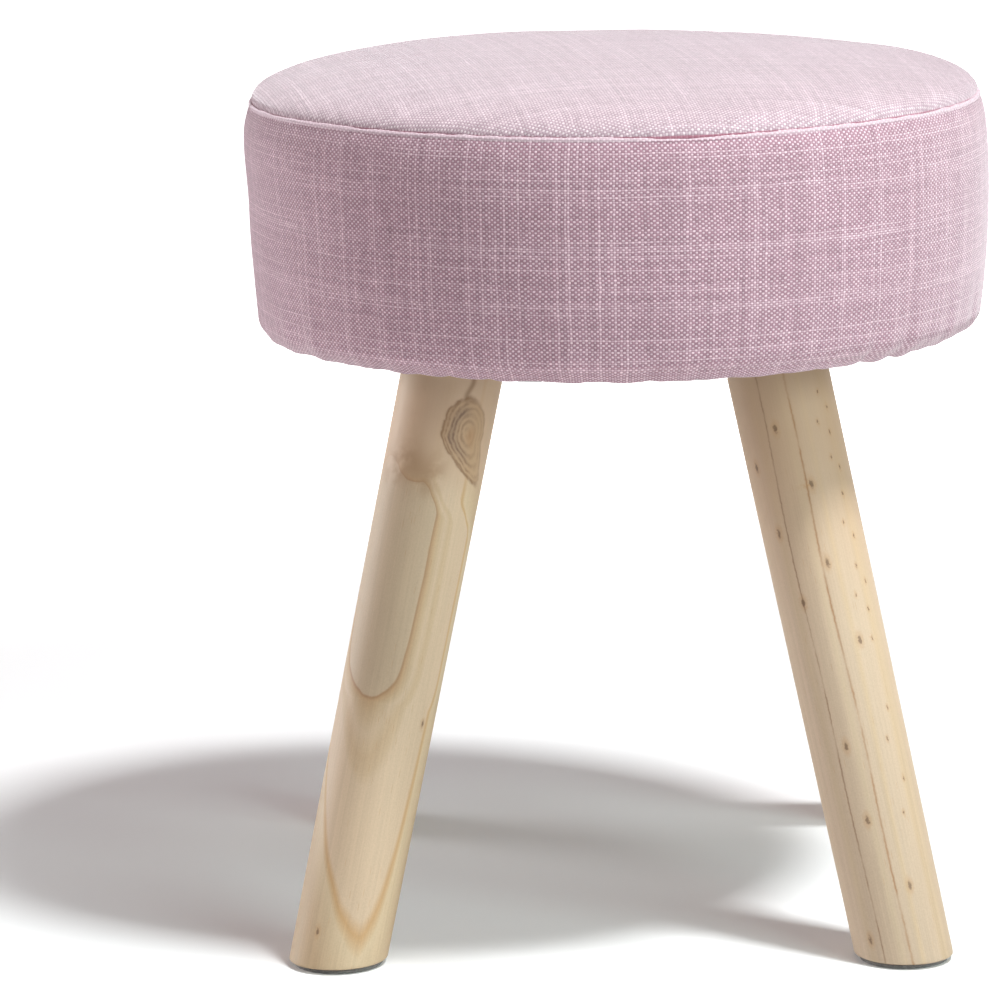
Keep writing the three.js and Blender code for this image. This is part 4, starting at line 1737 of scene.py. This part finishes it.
lower_face = dust_side(underside - ripple * (dust_reach < 128) - slack)
upper_face = dust_side(underside + DUST_THICKNESS + 0 * dust_turn)
dust_rings = np.concatenate([lower_face, upper_face[::-1]], 0)
dust_piece = add_rings("dust_sheet", dust_rings, dust_finish, ["dust_cover"])
print("dust cover points:", len(dust_piece.data.vertices))

# %% [markdown]
# ## Floor, light and background
#
# The photograph was taken on a white ground with a soft key light high on the right, a little in
# front. The shadow on the floor gives its direction: it falls to the left and back, about a third
# of the height of what casts it. A large panel at the right and in front lifts the lit side, a low
# one at the left and back lights the left edge, and the world fills the shade, a little pink as in
# the photograph. Floor and world are seen as white where nothing shades them: the extra glow is for
# the camera, for reflections and for glass only, so the object gets no light from it.


# %% What only the camera sees
def seen_rays(start):
    """1 for rays from the camera, off mirrors and through glass, 0 for all other light."""
    path = start.node("ShaderNodeLightPath").socket.node.outputs
    seen = Wire(start.tree, path["Is Camera Ray"])
    for kind in ("Is Glossy Ray", "Is Transmission Ray"):
        seen = seen.above(Wire(start.tree, path[kind]))
    return seen


print("white in linear light:", photo_colour(255, 255, 255))

# %% Floor
FLOOR_HALF = 9.0
FLOOR_MATT = (0.855, 0.84, 0.84, 1)
WHITE = (1, 1, 1, 1)

white_floor = bpy.data.materials.new("studio_floor")
white_floor.use_nodes = True
tree = white_floor.node_tree
tree.nodes.remove(tree.nodes["Principled BSDF"])
start = Wire(tree)
x, y, _ = start.node("ShaderNodeTexCoord", output="Object").parts()
far = ((x**2 + y**2) ** 0.5).rise(0.55, 1.3)
glow_strength = seen_rays(start) * (far + 0.08)
matt = start.node("ShaderNodeBsdfDiffuse", None, {"Color": FLOOR_MATT})
glow = start.node("ShaderNodeEmission", None, {"Color": WHITE, "Strength": glow_strength})
both = start.node("ShaderNodeAddShader", None, {0: matt, 1: glow})
tree.links.new(both.socket, tree.nodes["Material Output"].inputs["Surface"])

floor_corners = [
    (x_side * FLOOR_HALF, y_side * FLOOR_HALF, 0)
    for x_side, y_side in ((-1, -1), (1, -1), (1, 1), (-1, 1))
]
floor_mesh = bpy.data.meshes.new("studio_floor")
floor_mesh.from_pydata(floor_corners, [], [(0, 1, 2, 3)])
floor_mesh.materials.append(white_floor)
floor_piece = bpy.data.objects.new("studio_floor", floor_mesh)
scene.collection.objects.link(floor_piece)
print("floor glow nodes:", len(tree.nodes))

# %% World
FILL = 0.23
FILL_TINT = (1, 0.8, 0.8, 1)

world = bpy.data.worlds.new("studio")
scene.world = world
world.use_nodes = True
tree = world.node_tree
tree.nodes.remove(tree.nodes["Background"])
start = Wire(tree)
seen = seen_rays(start)
sky_strength = seen * (1 - FILL) + FILL
sky_tint = seen.blend(FILL_TINT, WHITE)
sky = start.node("ShaderNodeBackground", None, {"Color": sky_tint, "Strength": sky_strength})
tree.links.new(sky.socket, tree.nodes["World Output"].inputs["Surface"])
print("world nodes:", len(tree.nodes))

# %% Lamps
COOL = (0.95, 1.0, 1.01)
COOLER = (0.84, 1.09, 1.06)


def lamp(name, place, target_height, size, power, colour):
    """A soft square lamp that faces the stool's axis at a height, all in metres and watts."""
    light = bpy.data.lights.new(name, "AREA")
    light.size = size
    light.energy = power
    light.color = colour
    holder = bpy.data.objects.new(name, light)
    holder.location = place
    towards = Vector((0, 0, target_height)) - Vector(place)
    holder.rotation_euler = towards.to_track_quat("-Z", "Y").to_euler()
    scene.collection.objects.link(holder)


lamp("key_light", (0.66, -0.46, 2.15), 0.25, 0.3, 51, COOL)
lamp("side_panel", (1.82, -1.88, 1.2), 0.25, 1.6, 41.5, COOLER)
lamp("left_panel", (-2.3, 0.9, 0.4), 0.3, 1.1, 46, COOL)
scene.view_settings.view_transform = "Standard"
